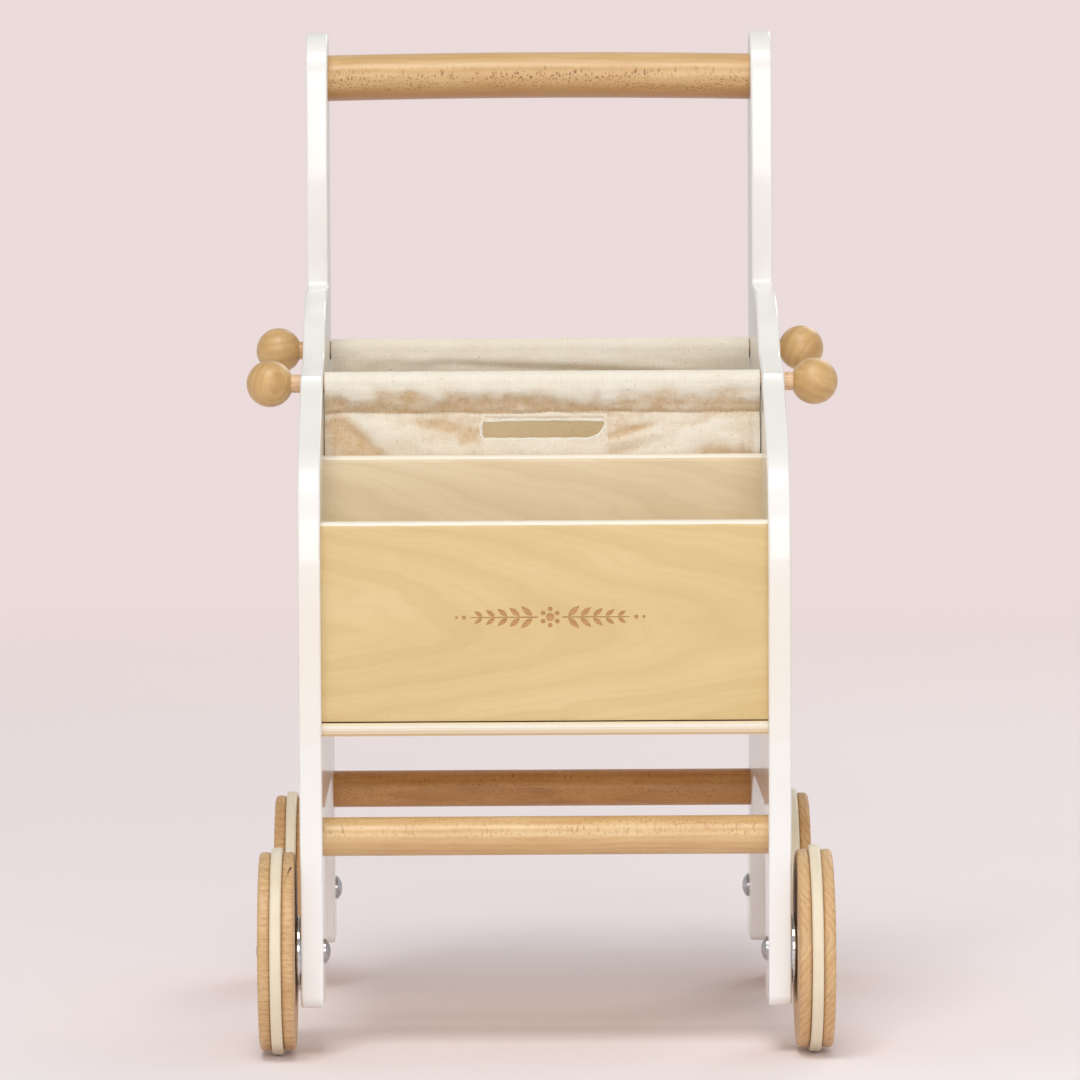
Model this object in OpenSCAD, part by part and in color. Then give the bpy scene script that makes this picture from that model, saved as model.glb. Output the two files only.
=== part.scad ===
// Wooden push trolley for a child: two painted side panels with legs and tall
// handle arms, a shelf with a front pocket, a canvas bag that hangs on two rods
// with ball knobs, and four wheels made of wooden discs with a rubber ring.
// Millimetres. X is across, the front faces -Y, Z is up, the floor is Z = 0.

/* [Side panels] */
// Width over the two side panels
body_w = 260; // [235:1:300]
// Thickness of each side panel
panel_t = 12; // [10:0.5:14]
// Height of the leg ends above the floor
leg_z = 26; // [20:1:34]
// Height of the arch between the legs
arch_z = 127.5; // [115:0.5:135]
// Radius of the rounded head of each handle arm
arm_r = 25; // [20:0.5:26]

/* [Handle and dowels] */
// Diameter of the handle bar
handle_d = 25.6; // [20:0.2:28]
// Height of the handle bar's axis above the floor
handle_z = 517.5; // [500:0.5:530]
// Diameter of the two lower cross dowels
dowel_d = 20.6; // [14:0.2:22]
// Height of the lower cross dowels above the floor
dowel_z = 115.5; // [108:0.5:122]

/* [Boards] */
// Thickness of the shelf
shelf_t = 7; // [5:0.5:10]
// Height of the shelf's top face above the floor
shelf_z = 178; // [165:1:190]
// Depth of the shelf, front to back
shelf_l = 284; // [270:1:286]
// Thickness of the two upright boards
board_t = 8; // [6:0.5:9]
// Height of the top edge of the front board
front_top_z = 284.5; // [270:0.5:295]
// Height of the top edge of the pocket divider
divider_top_z = 315; // [300:1:317]
// Distance of the divider's front face behind the panels' front edge
divider_y = 86; // [70:0.5:88]

/* [Rods and knobs] */
// Diameter of the two bag rods
rod_d = 10; // [8:0.5:11]
// Diameter of the ball knobs
knob_d = 25.2; // [20:0.2:28]
// Free travel between a knob and its side panel
knob_gap = 4.4; // [3:0.1:6]

/* [Bag] */
// Wall thickness of the bag
cloth_t = 1.6; // [1.2:0.1:2.2]
// Gap between the bag and each side panel
bag_gap = 1.5; // [1:0.1:4]
// Width of the hand slot in the front wall
slot_w = 66; // [50:1:90]
// Height of the hand slot
slot_h = 9.6; // [8:0.2:10]

/* [Wheels] */
// Diameter over the rubber rings
wheel_d = 110; // [100:1:116]
// Distance between the front and the rear axle
wheelbase = 285; // [280:1:290]
// How far the rubber ring stands out of the wooden discs
ring_proud = 2.3; // [1:0.1:4]
// Thickness of each wooden disc
disc_t = 6.5; // [5:0.5:8]
// Thickness of the rubber ring
ring_t = 6; // [4:0.5:8]
// Gap between a wheel and its side panel
wheel_gap = 3; // [2.8:0.1:4]

/* [Hidden] */
$fn = 72;
eps = 0.01;

// The side view is laid out with y = 0 at the foremost point of the panels'
// front edge, and moved back at the end so that Y = 0 is midway between the axles.
front_axle_y = 24;
rear_axle_y = front_axle_y + wheelbase;
y_mid = (front_axle_y + rear_axle_y) / 2;
wheel_r = wheel_d / 2;
out_x = body_w / 2;
in_x = out_x - panel_t;

arm_y = 262;
handle_y = arm_y;
front_dowel_y = 29;
rear_dowel_y = 272;
shelf_y = 8;
front_board_y = 10;
front_board_gap = 0.6;

front_rod_y = 102;
front_rod_z = 353.3;
rear_rod_y = 266;
rear_rod_z = 364.3;

slot_z = 323;
stitch_z = 337;
rear_stitch_z = 348;

// clearances: loose holes for fixed shanks, running fits for what turns or slides
fit = 0.05;
run = 0.08;

bolt_r = 3;
sleeve_r = 4;
bush_r = 6;
washer_r = 18.5;
washer_t = 2.4;

// wood screws: [shank diameter, head diameter, length]
screw_big = [5, 10, 45];
screw_small = [3.5, 7, 34];

// ---------- helpers ----------

// one cubic curve, without its last point
function bez(a, b, c, d, n) =
  [for (i = [0:n - 1]) let (t = i / n, u = 1 - t) u * u * u * a + 3 * u * u * t * b + 3 * u * t * t * c + t * t * t * d];

// an arc about c from angle a0 to a1, both ends included
function arc(c, r, a0, a1, n) =
  [for (i = [0:n]) let (a = a0 + (a1 - a0) * i / n) c + r * [cos(a), sin(a)]];

module from_side() translate([0, -y_mid, 0]) children();

// draws a shape of the y-z side view as a plate from x0 to x1
module plate(x0, x1)
  translate([x0, 0, 0]) rotate([90, 0, 90]) linear_extrude(height = x1 - x0) children();

module x_rod(r, x0, x1, y, z) translate([x0, y, z]) rotate([0, 90, 0]) cylinder(r = r, h = x1 - x0);

// children drawn along +Z are turned to point out of side s at the panel's outer face
module at_side(s, x, y, z) translate([s * x, y, z]) rotate([0, s * 90, 0]) children();

// a turned plate: radius r, thickness t, rounded rims of radius c, bore b
module turned(r, t, c, b)
  rotate_extrude(convexity = 4) difference() {
    union() {
      square([r - c, t]);
      translate([0, c]) square([r, t - 2 * c]);
      for (z = [c, t - c]) translate([r - c, z]) circle(r = c);
    }
    if (b > 0) translate([-eps, -1]) square([b + eps, t + 2]);
  }

// a low dome of radius r and height h with an upright rim, on z = 0, pointing up
module button(r, h, rim)
  let (d = h - rim, rs = (r * r + d * d) / (2 * d))
    rotate_extrude() intersection() {
      square([r, h]);
      translate([0, h - rs]) circle(r = rs);
    }

// ---------- side panels ----------

panel_outline = concat(
  // front leg: rounded foot, then the long front edge
  arc([14, leg_z + 6], 6, 270, 183, 5),
  // front edge rolls over into the sloping top
  bez([0, 244], [-1.5, 284], [7, 311], [28, 323], 14),
  // slope, small concave turn, crisp nose of the ledge
  bez([28, 323], [44, 332.4], [60, 342], [75, 351], 3),
  bez([75, 351], [78.5, 353.2], [80.5, 355.4], [82, 358.3], 4),
  // ledge over the front rod, then the sweep up to the shoulder
  [[82, 358.3], [104, 362.1]],
  bez([126, 365.8], [136, 367.6], [143, 377], [152, 383.5], 10),
  bez([152, 383.5], [163, 391.5], [180, 398], [202, 399.7], 10),
  // shoulder, tight inner corner, front edge of the arm
  arc([232, 405], 4, 270, 352, 5),
  bez([235.5, 412], [231, 440], [231.5, 486], [arm_y - arm_r * cos(8), handle_z + arm_r * sin(8)], 16),
  // rounded head of the arm
  arc([arm_y, handle_z], arm_r, 172, 4, 32),
  // long back edge, flaring into the rear leg
  bez([arm_y + arm_r, handle_z - 8], [286, 430], [286, 300], [294, 190], 18),
  bez([294, 190], [299, 125], [311, 76], [327, 40], 14),
  // rear foot
  arc([322.5, leg_z + 7], 7, 15, -90, 6),
  arc([288, leg_z + 6], 6, 270, 187, 5),
  // arch between the legs
  bez([280, 44], [277, 92], [252, arch_z], [215, arch_z], 16),
  arc([72, arch_z - 14], 14, 90, 180, 8),
  arc([52, leg_z + 6], 6, 0, -90, 5)
);

module screw_cut(s, y, z, size)
  at_side(s, out_x, y, z) {
    translate([0, 0, -panel_t - 1]) cylinder(r = size[0] / 2 + fit, h = panel_t + 2);
    translate([0, 0, -0.2 - (size[1] - size[0]) / 2]) cylinder(r1 = size[0] / 2 + fit, r2 = size[1] / 2 + fit, h = (size[1] - size[0]) / 2);
    translate([0, 0, -0.2 - eps]) cylinder(r = size[1] / 2 + fit, h = 1);
  }

shelf_screw_y = [62, 238];
board_screw_z = [202, 262];
divider_screw_z = [206, 288];

module side_panel(s)
  color([0.96, 0.95, 0.93]) from_side() difference() {
    plate(s > 0 ? in_x : -out_x, s > 0 ? out_x : -in_x) polygon(panel_outline);
    // rod holes, a running fit
    for (p = [[front_rod_y, front_rod_z], [rear_rod_y, rear_rod_z]])
      x_rod(rod_d / 2 + run, s > 0 ? in_x - 1 : -out_x - 1, s > 0 ? out_x + 1 : -in_x + 1, p[0], p[1]);
    // axle holes
    for (y = [front_axle_y, rear_axle_y])
      x_rod(sleeve_r + fit, s > 0 ? in_x - 1 : -out_x - 1, s > 0 ? out_x + 1 : -in_x + 1, y, wheel_r);
    // countersunk screw holes
    screw_cut(s, handle_y, handle_z, screw_big);
    for (y = [front_dowel_y, rear_dowel_y]) screw_cut(s, y, dowel_z, screw_big);
    for (y = shelf_screw_y) screw_cut(s, y, shelf_z - shelf_t / 2, screw_small);
    for (z = board_screw_z) screw_cut(s, front_board_y + board_t / 2, z, screw_small);
    for (z = divider_screw_z) screw_cut(s, divider_y + board_t / 2, z, screw_small);
  }

module side_panel_left() side_panel(-1);
module side_panel_right() side_panel(1);

// ---------- wood screws ----------

// a countersunk screw with a hexagonal socket, head up at z = -0.2
module wood_screw(size)
  let (r = size[0] / 2, hr = size[1] / 2, hh = hr - r, tip = size[0])
    translate([0, 0, -0.2]) difference() {
      union() {
        translate([0, 0, -hh]) cylinder(r1 = r, r2 = hr, h = hh);
        translate([0, 0, -size[2] + tip]) cylinder(r = r, h = size[2] - tip - hh + eps);
        translate([0, 0, -size[2]]) cylinder(r1 = 0.3, r2 = r, h = tip);
      }
      translate([0, 0, -hh * 0.75]) cylinder(r = r * 0.62, h = hh, $fn = 6);
    }

module screws(points, size)
  color([0.75, 0.76, 0.78]) from_side()
    for (s = [-1, 1]) for (p = points) at_side(s, out_x, p[0], p[1]) wood_screw(size);

// pilot holes for the same screws in what they hold
module pilots(points, size)
  for (s = [-1, 1]) for (p = points)
    at_side(s, out_x, p[0], p[1]) translate([0, 0, -size[2] - 0.6]) cylinder(r = size[0] / 2 + fit, h = size[2]);

handle_screw_at = [[handle_y, handle_z]];
dowel_screw_at = [[front_dowel_y, dowel_z], [rear_dowel_y, dowel_z]];
shelf_screw_at = [for (y = shelf_screw_y) [y, shelf_z - shelf_t / 2]];
board_screw_at = [for (z = board_screw_z) [front_board_y + board_t / 2, z]];
divider_screw_at = [for (z = divider_screw_z) [divider_y + board_t / 2, z]];

module handle_screws() screws(handle_screw_at, screw_big);
module cross_dowel_screws() screws(dowel_screw_at, screw_big);
module shelf_screws() screws(shelf_screw_at, screw_small);
module front_board_screws() screws(board_screw_at, screw_small);
module divider_screws() screws(divider_screw_at, screw_small);

// ---------- dowels and boards ----------

module cross_bar(d, y, z, points)
  color([0.85, 0.69, 0.51]) from_side() difference() {
    x_rod(d / 2, -in_x, in_x, y, z);
    pilots(points, screw_big);
  }

module handle_bar() cross_bar(handle_d, handle_y, handle_z, handle_screw_at);
module front_cross_dowel() cross_bar(dowel_d, front_dowel_y, dowel_z, [dowel_screw_at[0]]);
module rear_cross_dowel() cross_bar(dowel_d, rear_dowel_y, dowel_z, [dowel_screw_at[1]]);

module base_shelf()
  color([0.90, 0.80, 0.66]) from_side() difference() {
    translate([-in_x, shelf_y, shelf_z - shelf_t]) cube([2 * in_x, shelf_l, shelf_t]);
    pilots(shelf_screw_at, screw_small);
  }

// an upright board with a full round top edge, but for a narrow flat along its middle
edge_r = board_t / 2 - 0.2;

module upright(y, z0, z1, points)
  color([0.91, 0.79, 0.61]) from_side() difference() {
    plate(-in_x, in_x) {
      translate([y, z0]) square([board_t, z1 - z0 - edge_r]);
      translate([y + edge_r, z0]) square([board_t - 2 * edge_r, z1 - z0]);
      for (dy = [edge_r, board_t - edge_r]) translate([y + dy, z1 - edge_r]) circle(r = edge_r);
    }
    pilots(points, screw_small);
  }

module front_board() upright(front_board_y, shelf_z + front_board_gap, front_top_z, board_screw_at);
module pocket_divider() upright(divider_y, shelf_z, divider_top_z, divider_screw_at);

// ---------- bag ----------

bag_x = in_x - bag_gap;
hem_r = rod_d / 2 + 1.4;
bag_front_y = front_rod_y - hem_r;
bag_back_y = rear_rod_y + hem_r;
bag_floor_z = shelf_z;

// side view of one hem: a channel about the rod that closes to the wall at the stitch line,
// with the wall on its -y side
module hem(y, z, zs) {
  translate([y, z]) circle(r = hem_r);
  polygon([[y - hem_r, z], [y - hem_r, zs], [y - hem_r + cloth_t + 0.6, zs], [y + hem_r, z]]);
}

module bag_main()
  color([0.90, 0.84, 0.75]) from_side() difference() {
    plate(-bag_x, bag_x) difference() {
      union() {
        translate([bag_front_y, bag_floor_z]) square([cloth_t, front_rod_z - bag_floor_z]);
        translate([bag_front_y, bag_floor_z]) square([bag_back_y - bag_front_y, cloth_t]);
        translate([bag_back_y - cloth_t, bag_floor_z]) square([cloth_t, rear_rod_z - bag_floor_z]);
        hem(front_rod_y, front_rod_z, stitch_z);
        mirror([1, 0]) hem(-rear_rod_y, rear_rod_z, rear_stitch_z);
      }
      translate([front_rod_y, front_rod_z]) circle(r = rod_d / 2 + 0.35);
      translate([rear_rod_y, rear_rod_z]) circle(r = rod_d / 2 + 0.35);
    }
    slot_cut();
  }

// the hand slot with round ends, cut through the front wall and its facing
module slot_cut()
  translate([0, bag_front_y + 5, slot_z + slot_h / 2]) rotate([90, 0, 0]) linear_extrude(height = 10) {
    square([slot_w - slot_h, slot_h], center = true);
    for (s = [-1, 1]) translate([s * (slot_w - slot_h) / 2, 0]) circle(r = slot_h / 2);
  }

module bag_slot_facing()
  color([0.88, 0.81, 0.71]) from_side() difference() {
    translate([-slot_w / 2 - 3, bag_front_y - 0.8, slot_z - 15]) cube([slot_w + 6, 0.8, slot_h + 19]);
    slot_cut();
  }

module gusset(s)
  color([0.88, 0.82, 0.73]) from_side()
    plate(s > 0 ? bag_x - cloth_t : -bag_x, s > 0 ? bag_x : -bag_x + cloth_t)
      polygon([
        [bag_front_y + cloth_t, bag_floor_z + cloth_t], [bag_back_y - cloth_t, bag_floor_z + cloth_t],
        [bag_back_y - cloth_t, rear_stitch_z - 3], [rear_rod_y - 30, rear_stitch_z - 8],
        [front_rod_y + 40, stitch_z - 4], [bag_front_y + cloth_t, stitch_z - 2]
      ]);

module bag_gusset_left() gusset(-1);
module bag_gusset_right() gusset(1);

// ---------- bag rods and knobs ----------

knob_x = out_x + knob_gap + knob_d / 2;
rod_end_x = knob_x - 4;

module bag_rod(y, z)
  color([0.84, 0.70, 0.52]) from_side() x_rod(rod_d / 2, -rod_end_x, rod_end_x, y, z);

// a ball with a blind hole for the rod's end and a small flat around it
module knob(s, y, z)
  color([0.84, 0.72, 0.55]) from_side() at_side(s, knob_x, y, z) difference() {
    sphere(r = knob_d / 2);
    translate([0, 0, -knob_d]) cylinder(r = rod_d / 2 + run, h = knob_d - 3.6);
  }

module front_rod() bag_rod(front_rod_y, front_rod_z);
module rear_rod() bag_rod(rear_rod_y, rear_rod_z);
module front_knob_left() knob(-1, front_rod_y, front_rod_z);
module front_knob_right() knob(1, front_rod_y, front_rod_z);
module rear_knob_left() knob(-1, rear_rod_y, rear_rod_z);
module rear_knob_right() knob(1, rear_rod_y, rear_rod_z);

// ---------- axles ----------

wheel_in_x = out_x + wheel_gap;
wheel_t = 2 * disc_t + ring_t;
wheel_out_x = wheel_in_x + wheel_t;
disc_r = wheel_r - ring_proud;
core_r = disc_r - 11;

module each_axle() for (s = [-1, 1]) for (y = [front_axle_y, rear_axle_y]) at_side(s, 0, y, wheel_r) children();

// button-head bolts that enter from the inner face of each leg
module axle_bolts()
  color([0.80, 0.81, 0.83]) from_side() each_axle() {
    translate([0, 0, in_x]) cylinder(r = bolt_r, h = panel_t + 16);
    translate([0, 0, in_x]) mirror([0, 0, 1]) difference() {
      button(6.5, 3.6, 1);
      translate([0, 0, 1.4]) cylinder(r = 2.3, h = 3, $fn = 6);
    }
  }

// sleeve nuts with a low domed head outside each wheel; the wheels turn on them
module axle_sleeves()
  color([0.82, 0.83, 0.85]) from_side() each_axle() difference() {
    union() {
      translate([0, 0, in_x + 0.3]) cylinder(r = sleeve_r, h = wheel_out_x - in_x);
      translate([0, 0, wheel_out_x + 0.3]) button(5.6, 2, 0.6);
    }
    translate([0, 0, in_x - 1]) cylinder(r = bolt_r + fit, h = panel_t + 18);
  }

// steel discs between each leg and its wheel
module hub_washers()
  color([0.78, 0.79, 0.82]) from_side() each_axle()
    translate([0, 0, out_x]) turned(washer_r, washer_t, 0.8, sleeve_r + fit);

// ---------- wheels ----------

module wheel_at(s, y) color([0.82, 0.67, 0.49]) from_side() at_side(s, wheel_in_x, y, wheel_r) children();

// the outer disc carries a core that fills the rubber ring
module outer_disc(s, y)
  wheel_at(s, y) difference() {
    union() {
      translate([0, 0, disc_t + ring_t]) turned(disc_r, disc_t, 2.2, 0);
      translate([0, 0, disc_t]) cylinder(r = core_r, h = ring_t + 1);
    }
    cylinder(r = bush_r + 0.02, h = wheel_t + 1);
  }

module inner_disc(s, y) wheel_at(s, y) turned(disc_r, disc_t, 2.2, bush_r + 0.02);

module rubber_ring(s, y)
  color([0.92, 0.87, 0.79]) from_side() at_side(s, wheel_in_x + disc_t, y, wheel_r)
    turned(wheel_r, ring_t, 1.4, core_r);

module bush(s, y)
  color([0.72, 0.62, 0.36]) from_side() at_side(s, wheel_in_x, y, wheel_r)
    translate([0, 0, -0.2]) difference() {
      cylinder(r = bush_r, h = wheel_t + 0.2);
      translate([0, 0, -1]) cylinder(r = sleeve_r + run, h = wheel_t + 3);
    }

module front_left_outer_disc() outer_disc(-1, front_axle_y);
module front_left_inner_disc() inner_disc(-1, front_axle_y);
module front_left_ring() rubber_ring(-1, front_axle_y);
module front_left_bush() bush(-1, front_axle_y);
module front_right_outer_disc() outer_disc(1, front_axle_y);
module front_right_inner_disc() inner_disc(1, front_axle_y);
module front_right_ring() rubber_ring(1, front_axle_y);
module front_right_bush() bush(1, front_axle_y);
module rear_left_outer_disc() outer_disc(-1, rear_axle_y);
module rear_left_inner_disc() inner_disc(-1, rear_axle_y);
module rear_left_ring() rubber_ring(-1, rear_axle_y);
module rear_left_bush() bush(-1, rear_axle_y);
module rear_right_outer_disc() outer_disc(1, rear_axle_y);
module rear_right_inner_disc() inner_disc(1, rear_axle_y);
module rear_right_ring() rubber_ring(1, rear_axle_y);
module rear_right_bush() bush(1, rear_axle_y);

side_panel_left();
side_panel_right();
handle_bar();
front_cross_dowel();
rear_cross_dowel();
base_shelf();
front_board();
pocket_divider();
bag_main();
bag_gusset_left();
bag_gusset_right();
bag_slot_facing();
handle_screws();
cross_dowel_screws();
shelf_screws();
front_board_screws();
divider_screws();
axle_bolts();
axle_sleeves();
hub_washers();
front_rod();
front_knob_left();
front_knob_right();
rear_rod();
rear_knob_left();
rear_knob_right();
front_left_outer_disc();
front_left_inner_disc();
front_left_ring();
front_left_bush();
front_right_outer_disc();
front_right_inner_disc();
front_right_ring();
front_right_bush();
rear_left_outer_disc();
rear_left_inner_disc();
rear_left_ring();
rear_left_bush();
rear_right_outer_disc();
rear_right_inner_disc();
rear_right_ring();
rear_right_bush();
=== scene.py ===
import math

import bmesh
import bpy
import numpy as np
from mathutils import Matrix, Vector
from mathutils.geometry import tessellate_polygon


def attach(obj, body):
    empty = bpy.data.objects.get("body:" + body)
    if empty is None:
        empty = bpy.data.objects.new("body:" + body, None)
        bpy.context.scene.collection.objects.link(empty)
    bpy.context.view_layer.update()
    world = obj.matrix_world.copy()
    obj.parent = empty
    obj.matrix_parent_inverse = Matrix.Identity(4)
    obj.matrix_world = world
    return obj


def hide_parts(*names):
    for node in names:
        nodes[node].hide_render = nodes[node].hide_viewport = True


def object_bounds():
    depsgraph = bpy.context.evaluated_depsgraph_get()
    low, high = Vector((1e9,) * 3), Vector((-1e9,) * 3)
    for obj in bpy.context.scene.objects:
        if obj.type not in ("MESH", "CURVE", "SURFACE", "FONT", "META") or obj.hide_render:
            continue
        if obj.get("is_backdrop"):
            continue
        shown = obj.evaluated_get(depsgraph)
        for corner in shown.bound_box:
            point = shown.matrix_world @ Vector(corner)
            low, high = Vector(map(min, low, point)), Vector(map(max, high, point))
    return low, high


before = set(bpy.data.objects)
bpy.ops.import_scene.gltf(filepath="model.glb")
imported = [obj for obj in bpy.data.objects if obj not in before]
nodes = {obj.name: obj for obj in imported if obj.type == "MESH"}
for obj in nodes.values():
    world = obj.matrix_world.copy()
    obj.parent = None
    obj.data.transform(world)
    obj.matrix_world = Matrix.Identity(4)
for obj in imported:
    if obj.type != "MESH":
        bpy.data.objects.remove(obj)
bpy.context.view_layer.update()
scene = bpy.context.scene
RNG = np.random.default_rng(20)
Y0 = 166.5  # the side view's y (mm) is measured from the panels' front edge; Y = y - Y0

# ------------------------------------------------------------------ camera

def put_camera():
    cam = bpy.data.cameras.new("camera")
    ob = bpy.data.objects.new("camera", cam)
    scene.collection.objects.link(ob)
    yaw, pitch, roll = math.radians(0.3590), math.radians(3.9696), math.radians(-0.2993)
    fwd = Vector((math.sin(yaw) * math.cos(pitch), math.cos(yaw) * math.cos(pitch), -math.sin(pitch)))
    right = Vector((math.cos(yaw), -math.sin(yaw), 0))
    up = right.cross(fwd)
    r2 = right * math.cos(roll) + up * math.sin(roll)
    u2 = -right * math.sin(roll) + up * math.cos(roll)
    m = Matrix((r2, u2, -fwd)).transposed().to_4x4()
    m.translation = Vector((-0.02533, -3.85227, 0.53081))
    ob.matrix_world = m
    cam.lens = 234.009
    cam.sensor_width = 36
    cam.clip_start, cam.clip_end = 0.05, 100
    cam.dof.use_dof = False
    scene.camera = ob


put_camera()
scene.view_settings.view_transform = "Standard"
scene.view_settings.look = "None"
scene.view_settings.exposure = 0
scene.view_settings.gamma = 1

# ------------------------------------------------------------------ small node language


def lin(r, g, b, a=1.0):
    """sRGB bytes to a linear colour."""
    f = lambda c: (c / 255 / 12.92) if c / 255 <= 0.04045 else ((c / 255 + 0.055) / 1.055) ** 2.4
    return (f(r), f(g), f(b), a)


class G:
    """Short calls that add shader nodes and link them."""

    def __init__(self, name):
        self.mat = bpy.data.materials.new(name)
        self.mat.use_nodes = True
        self.nt = self.mat.node_tree
        self.nt.nodes.clear()
        self.out = self.nt.nodes.new("ShaderNodeOutputMaterial")
        self.bsdf = self.nt.nodes.new("ShaderNodeBsdfPrincipled")
        self.nt.links.new(self.bsdf.outputs[0], self.out.inputs[0])
        self.tc = self.nt.nodes.new("ShaderNodeTexCoord")

    def put(self, sock, v):
        if isinstance(v, bpy.types.NodeSocket):
            self.nt.links.new(v, sock)
        else:
            if hasattr(sock.default_value, "__len__") and hasattr(v, "__len__"):
                sock.default_value = v[: len(sock.default_value)] if len(v) > len(sock.default_value) else v
            else:
                sock.default_value = v

    def set(self, **kw):
        for k, v in kw.items():
            self.put(self.bsdf.inputs[k.replace("_", " ")], v)

    def m(self, op, a, b=0.0, c=None, clamp=False):
        n = self.nt.nodes.new("ShaderNodeMath")
        n.operation = op
        n.use_clamp = clamp
        self.put(n.inputs[0], a)
        self.put(n.inputs[1], b)
        if c is not None:
            self.put(n.inputs[2], c)
        return n.outputs[0]

    def add(self, a, b):
        return self.m("ADD", a, b)

    def sub(self, a, b):
        return self.m("SUBTRACT", a, b)

    def mul(self, a, b):
        return self.m("MULTIPLY", a, b)

    def v(self, op, a, b=(0, 0, 0), scale=None):
        n = self.nt.nodes.new("ShaderNodeVectorMath")
        n.operation = op
        self.put(n.inputs[0], a)
        self.put(n.inputs[1], b)
        if scale is not None:
            self.put(n.inputs["Scale"], scale)
        return n.outputs["Value"] if op in ("DOT_PRODUCT", "LENGTH", "DISTANCE") else n.outputs["Vector"]

    def xyz(self, x, y, z):
        n = self.nt.nodes.new("ShaderNodeCombineXYZ")
        self.put(n.inputs[0], x)
        self.put(n.inputs[1], y)
        self.put(n.inputs[2], z)
        return n.outputs[0]

    def sep(self, vec):
        n = self.nt.nodes.new("ShaderNodeSeparateXYZ")
        self.put(n.inputs[0], vec)
        return n.outputs

    def mm(self, offset=(0, 0, 0)):
        """Object coordinates in millimetres, shifted."""
        p = self.v("SCALE", self.tc.outputs["Object"], scale=1000.0)
        return self.v("ADD", p, offset) if any(offset) else p

    def noise(self, vec, scale=1.0, detail=2.0, rough=0.5, dist=0.0, color=False):
        n = self.nt.nodes.new("ShaderNodeTexNoise")
        self.put(n.inputs["Vector"], vec)
        n.inputs["Scale"].default_value = scale
        n.inputs["Detail"].default_value = detail
        n.inputs["Roughness"].default_value = rough
        n.inputs["Distortion"].default_value = dist
        return n.outputs["Color"] if color else n.outputs[0]

    def voronoi(self, vec, scale=1.0, rand=1.0, feature="F1"):
        n = self.nt.nodes.new("ShaderNodeTexVoronoi")
        n.feature = feature
        self.put(n.inputs["Vector"], vec)
        n.inputs["Scale"].default_value = scale
        n.inputs["Randomness"].default_value = rand
        return n.outputs["Distance"], n.outputs["Color"]

    def mapr(self, v, a, b, c=0.0, d=1.0, kind="LINEAR"):
        n = self.nt.nodes.new("ShaderNodeMapRange")
        n.interpolation_type = kind
        n.clamp = True
        self.put(n.inputs[0], v)
        for i, x in enumerate((a, b, c, d)):
            self.put(n.inputs[1 + i], x)
        return n.outputs[0]

    def step(self, v, a, b):
        return self.mapr(v, a, b, 0.0, 1.0, "SMOOTHSTEP")

    def ramp(self, fac, stops, interp="LINEAR"):
        n = self.nt.nodes.new("ShaderNodeValToRGB")
        n.color_ramp.interpolation = interp
        self.put(n.inputs[0], fac)
        els = n.color_ramp.elements
        els[0].position, els[0].color = stops[0]
        els[1].position, els[1].color = stops[-1]
        for p, c in stops[1:-1]:
            e = els.new(p)
            e.color = c
        return n.outputs[0]

    def mix(self, fac, a, b, blend="MIX"):
        n = self.nt.nodes.new("ShaderNodeMix")
        n.data_type = "RGBA"
        n.blend_type = blend
        n.clamp_factor = True
        self.put(n.inputs[0], fac)
        self.put(n.inputs[6], a)
        self.put(n.inputs[7], b)
        return n.outputs[2]

    def shade(self, col, fac, lo, hi):
        """Multiplies a colour by lo..hi as fac goes 0..1."""
        k = self.mapr(fac, 0.0, 1.0, lo, hi)
        return self.v("SCALE", col, scale=k)

    def bump(self, height, dist_mm, strength=1.0, normal=None):
        n = self.nt.nodes.new("ShaderNodeBump")
        n.inputs["Strength"].default_value = strength
        n.inputs["Distance"].default_value = dist_mm / 1000
        self.put(n.inputs["Height"], height)
        if normal is not None:
            self.put(n.inputs["Normal"], normal)
        return n.outputs[0]

    def attr(self, name):
        n = self.nt.nodes.new("ShaderNodeAttribute")
        n.attribute_name = name
        return n.outputs["Fac"]


# ------------------------------------------------------------------ wood

def axes_of(g, p, l, r, t):
    """Coordinates along the grain, along the radius of the tree and along the rings."""
    return g.v("DOT_PRODUCT", p, l), g.v("DOT_PRODUCT", p, r), g.v("DOT_PRODUCT", p, t)


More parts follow.
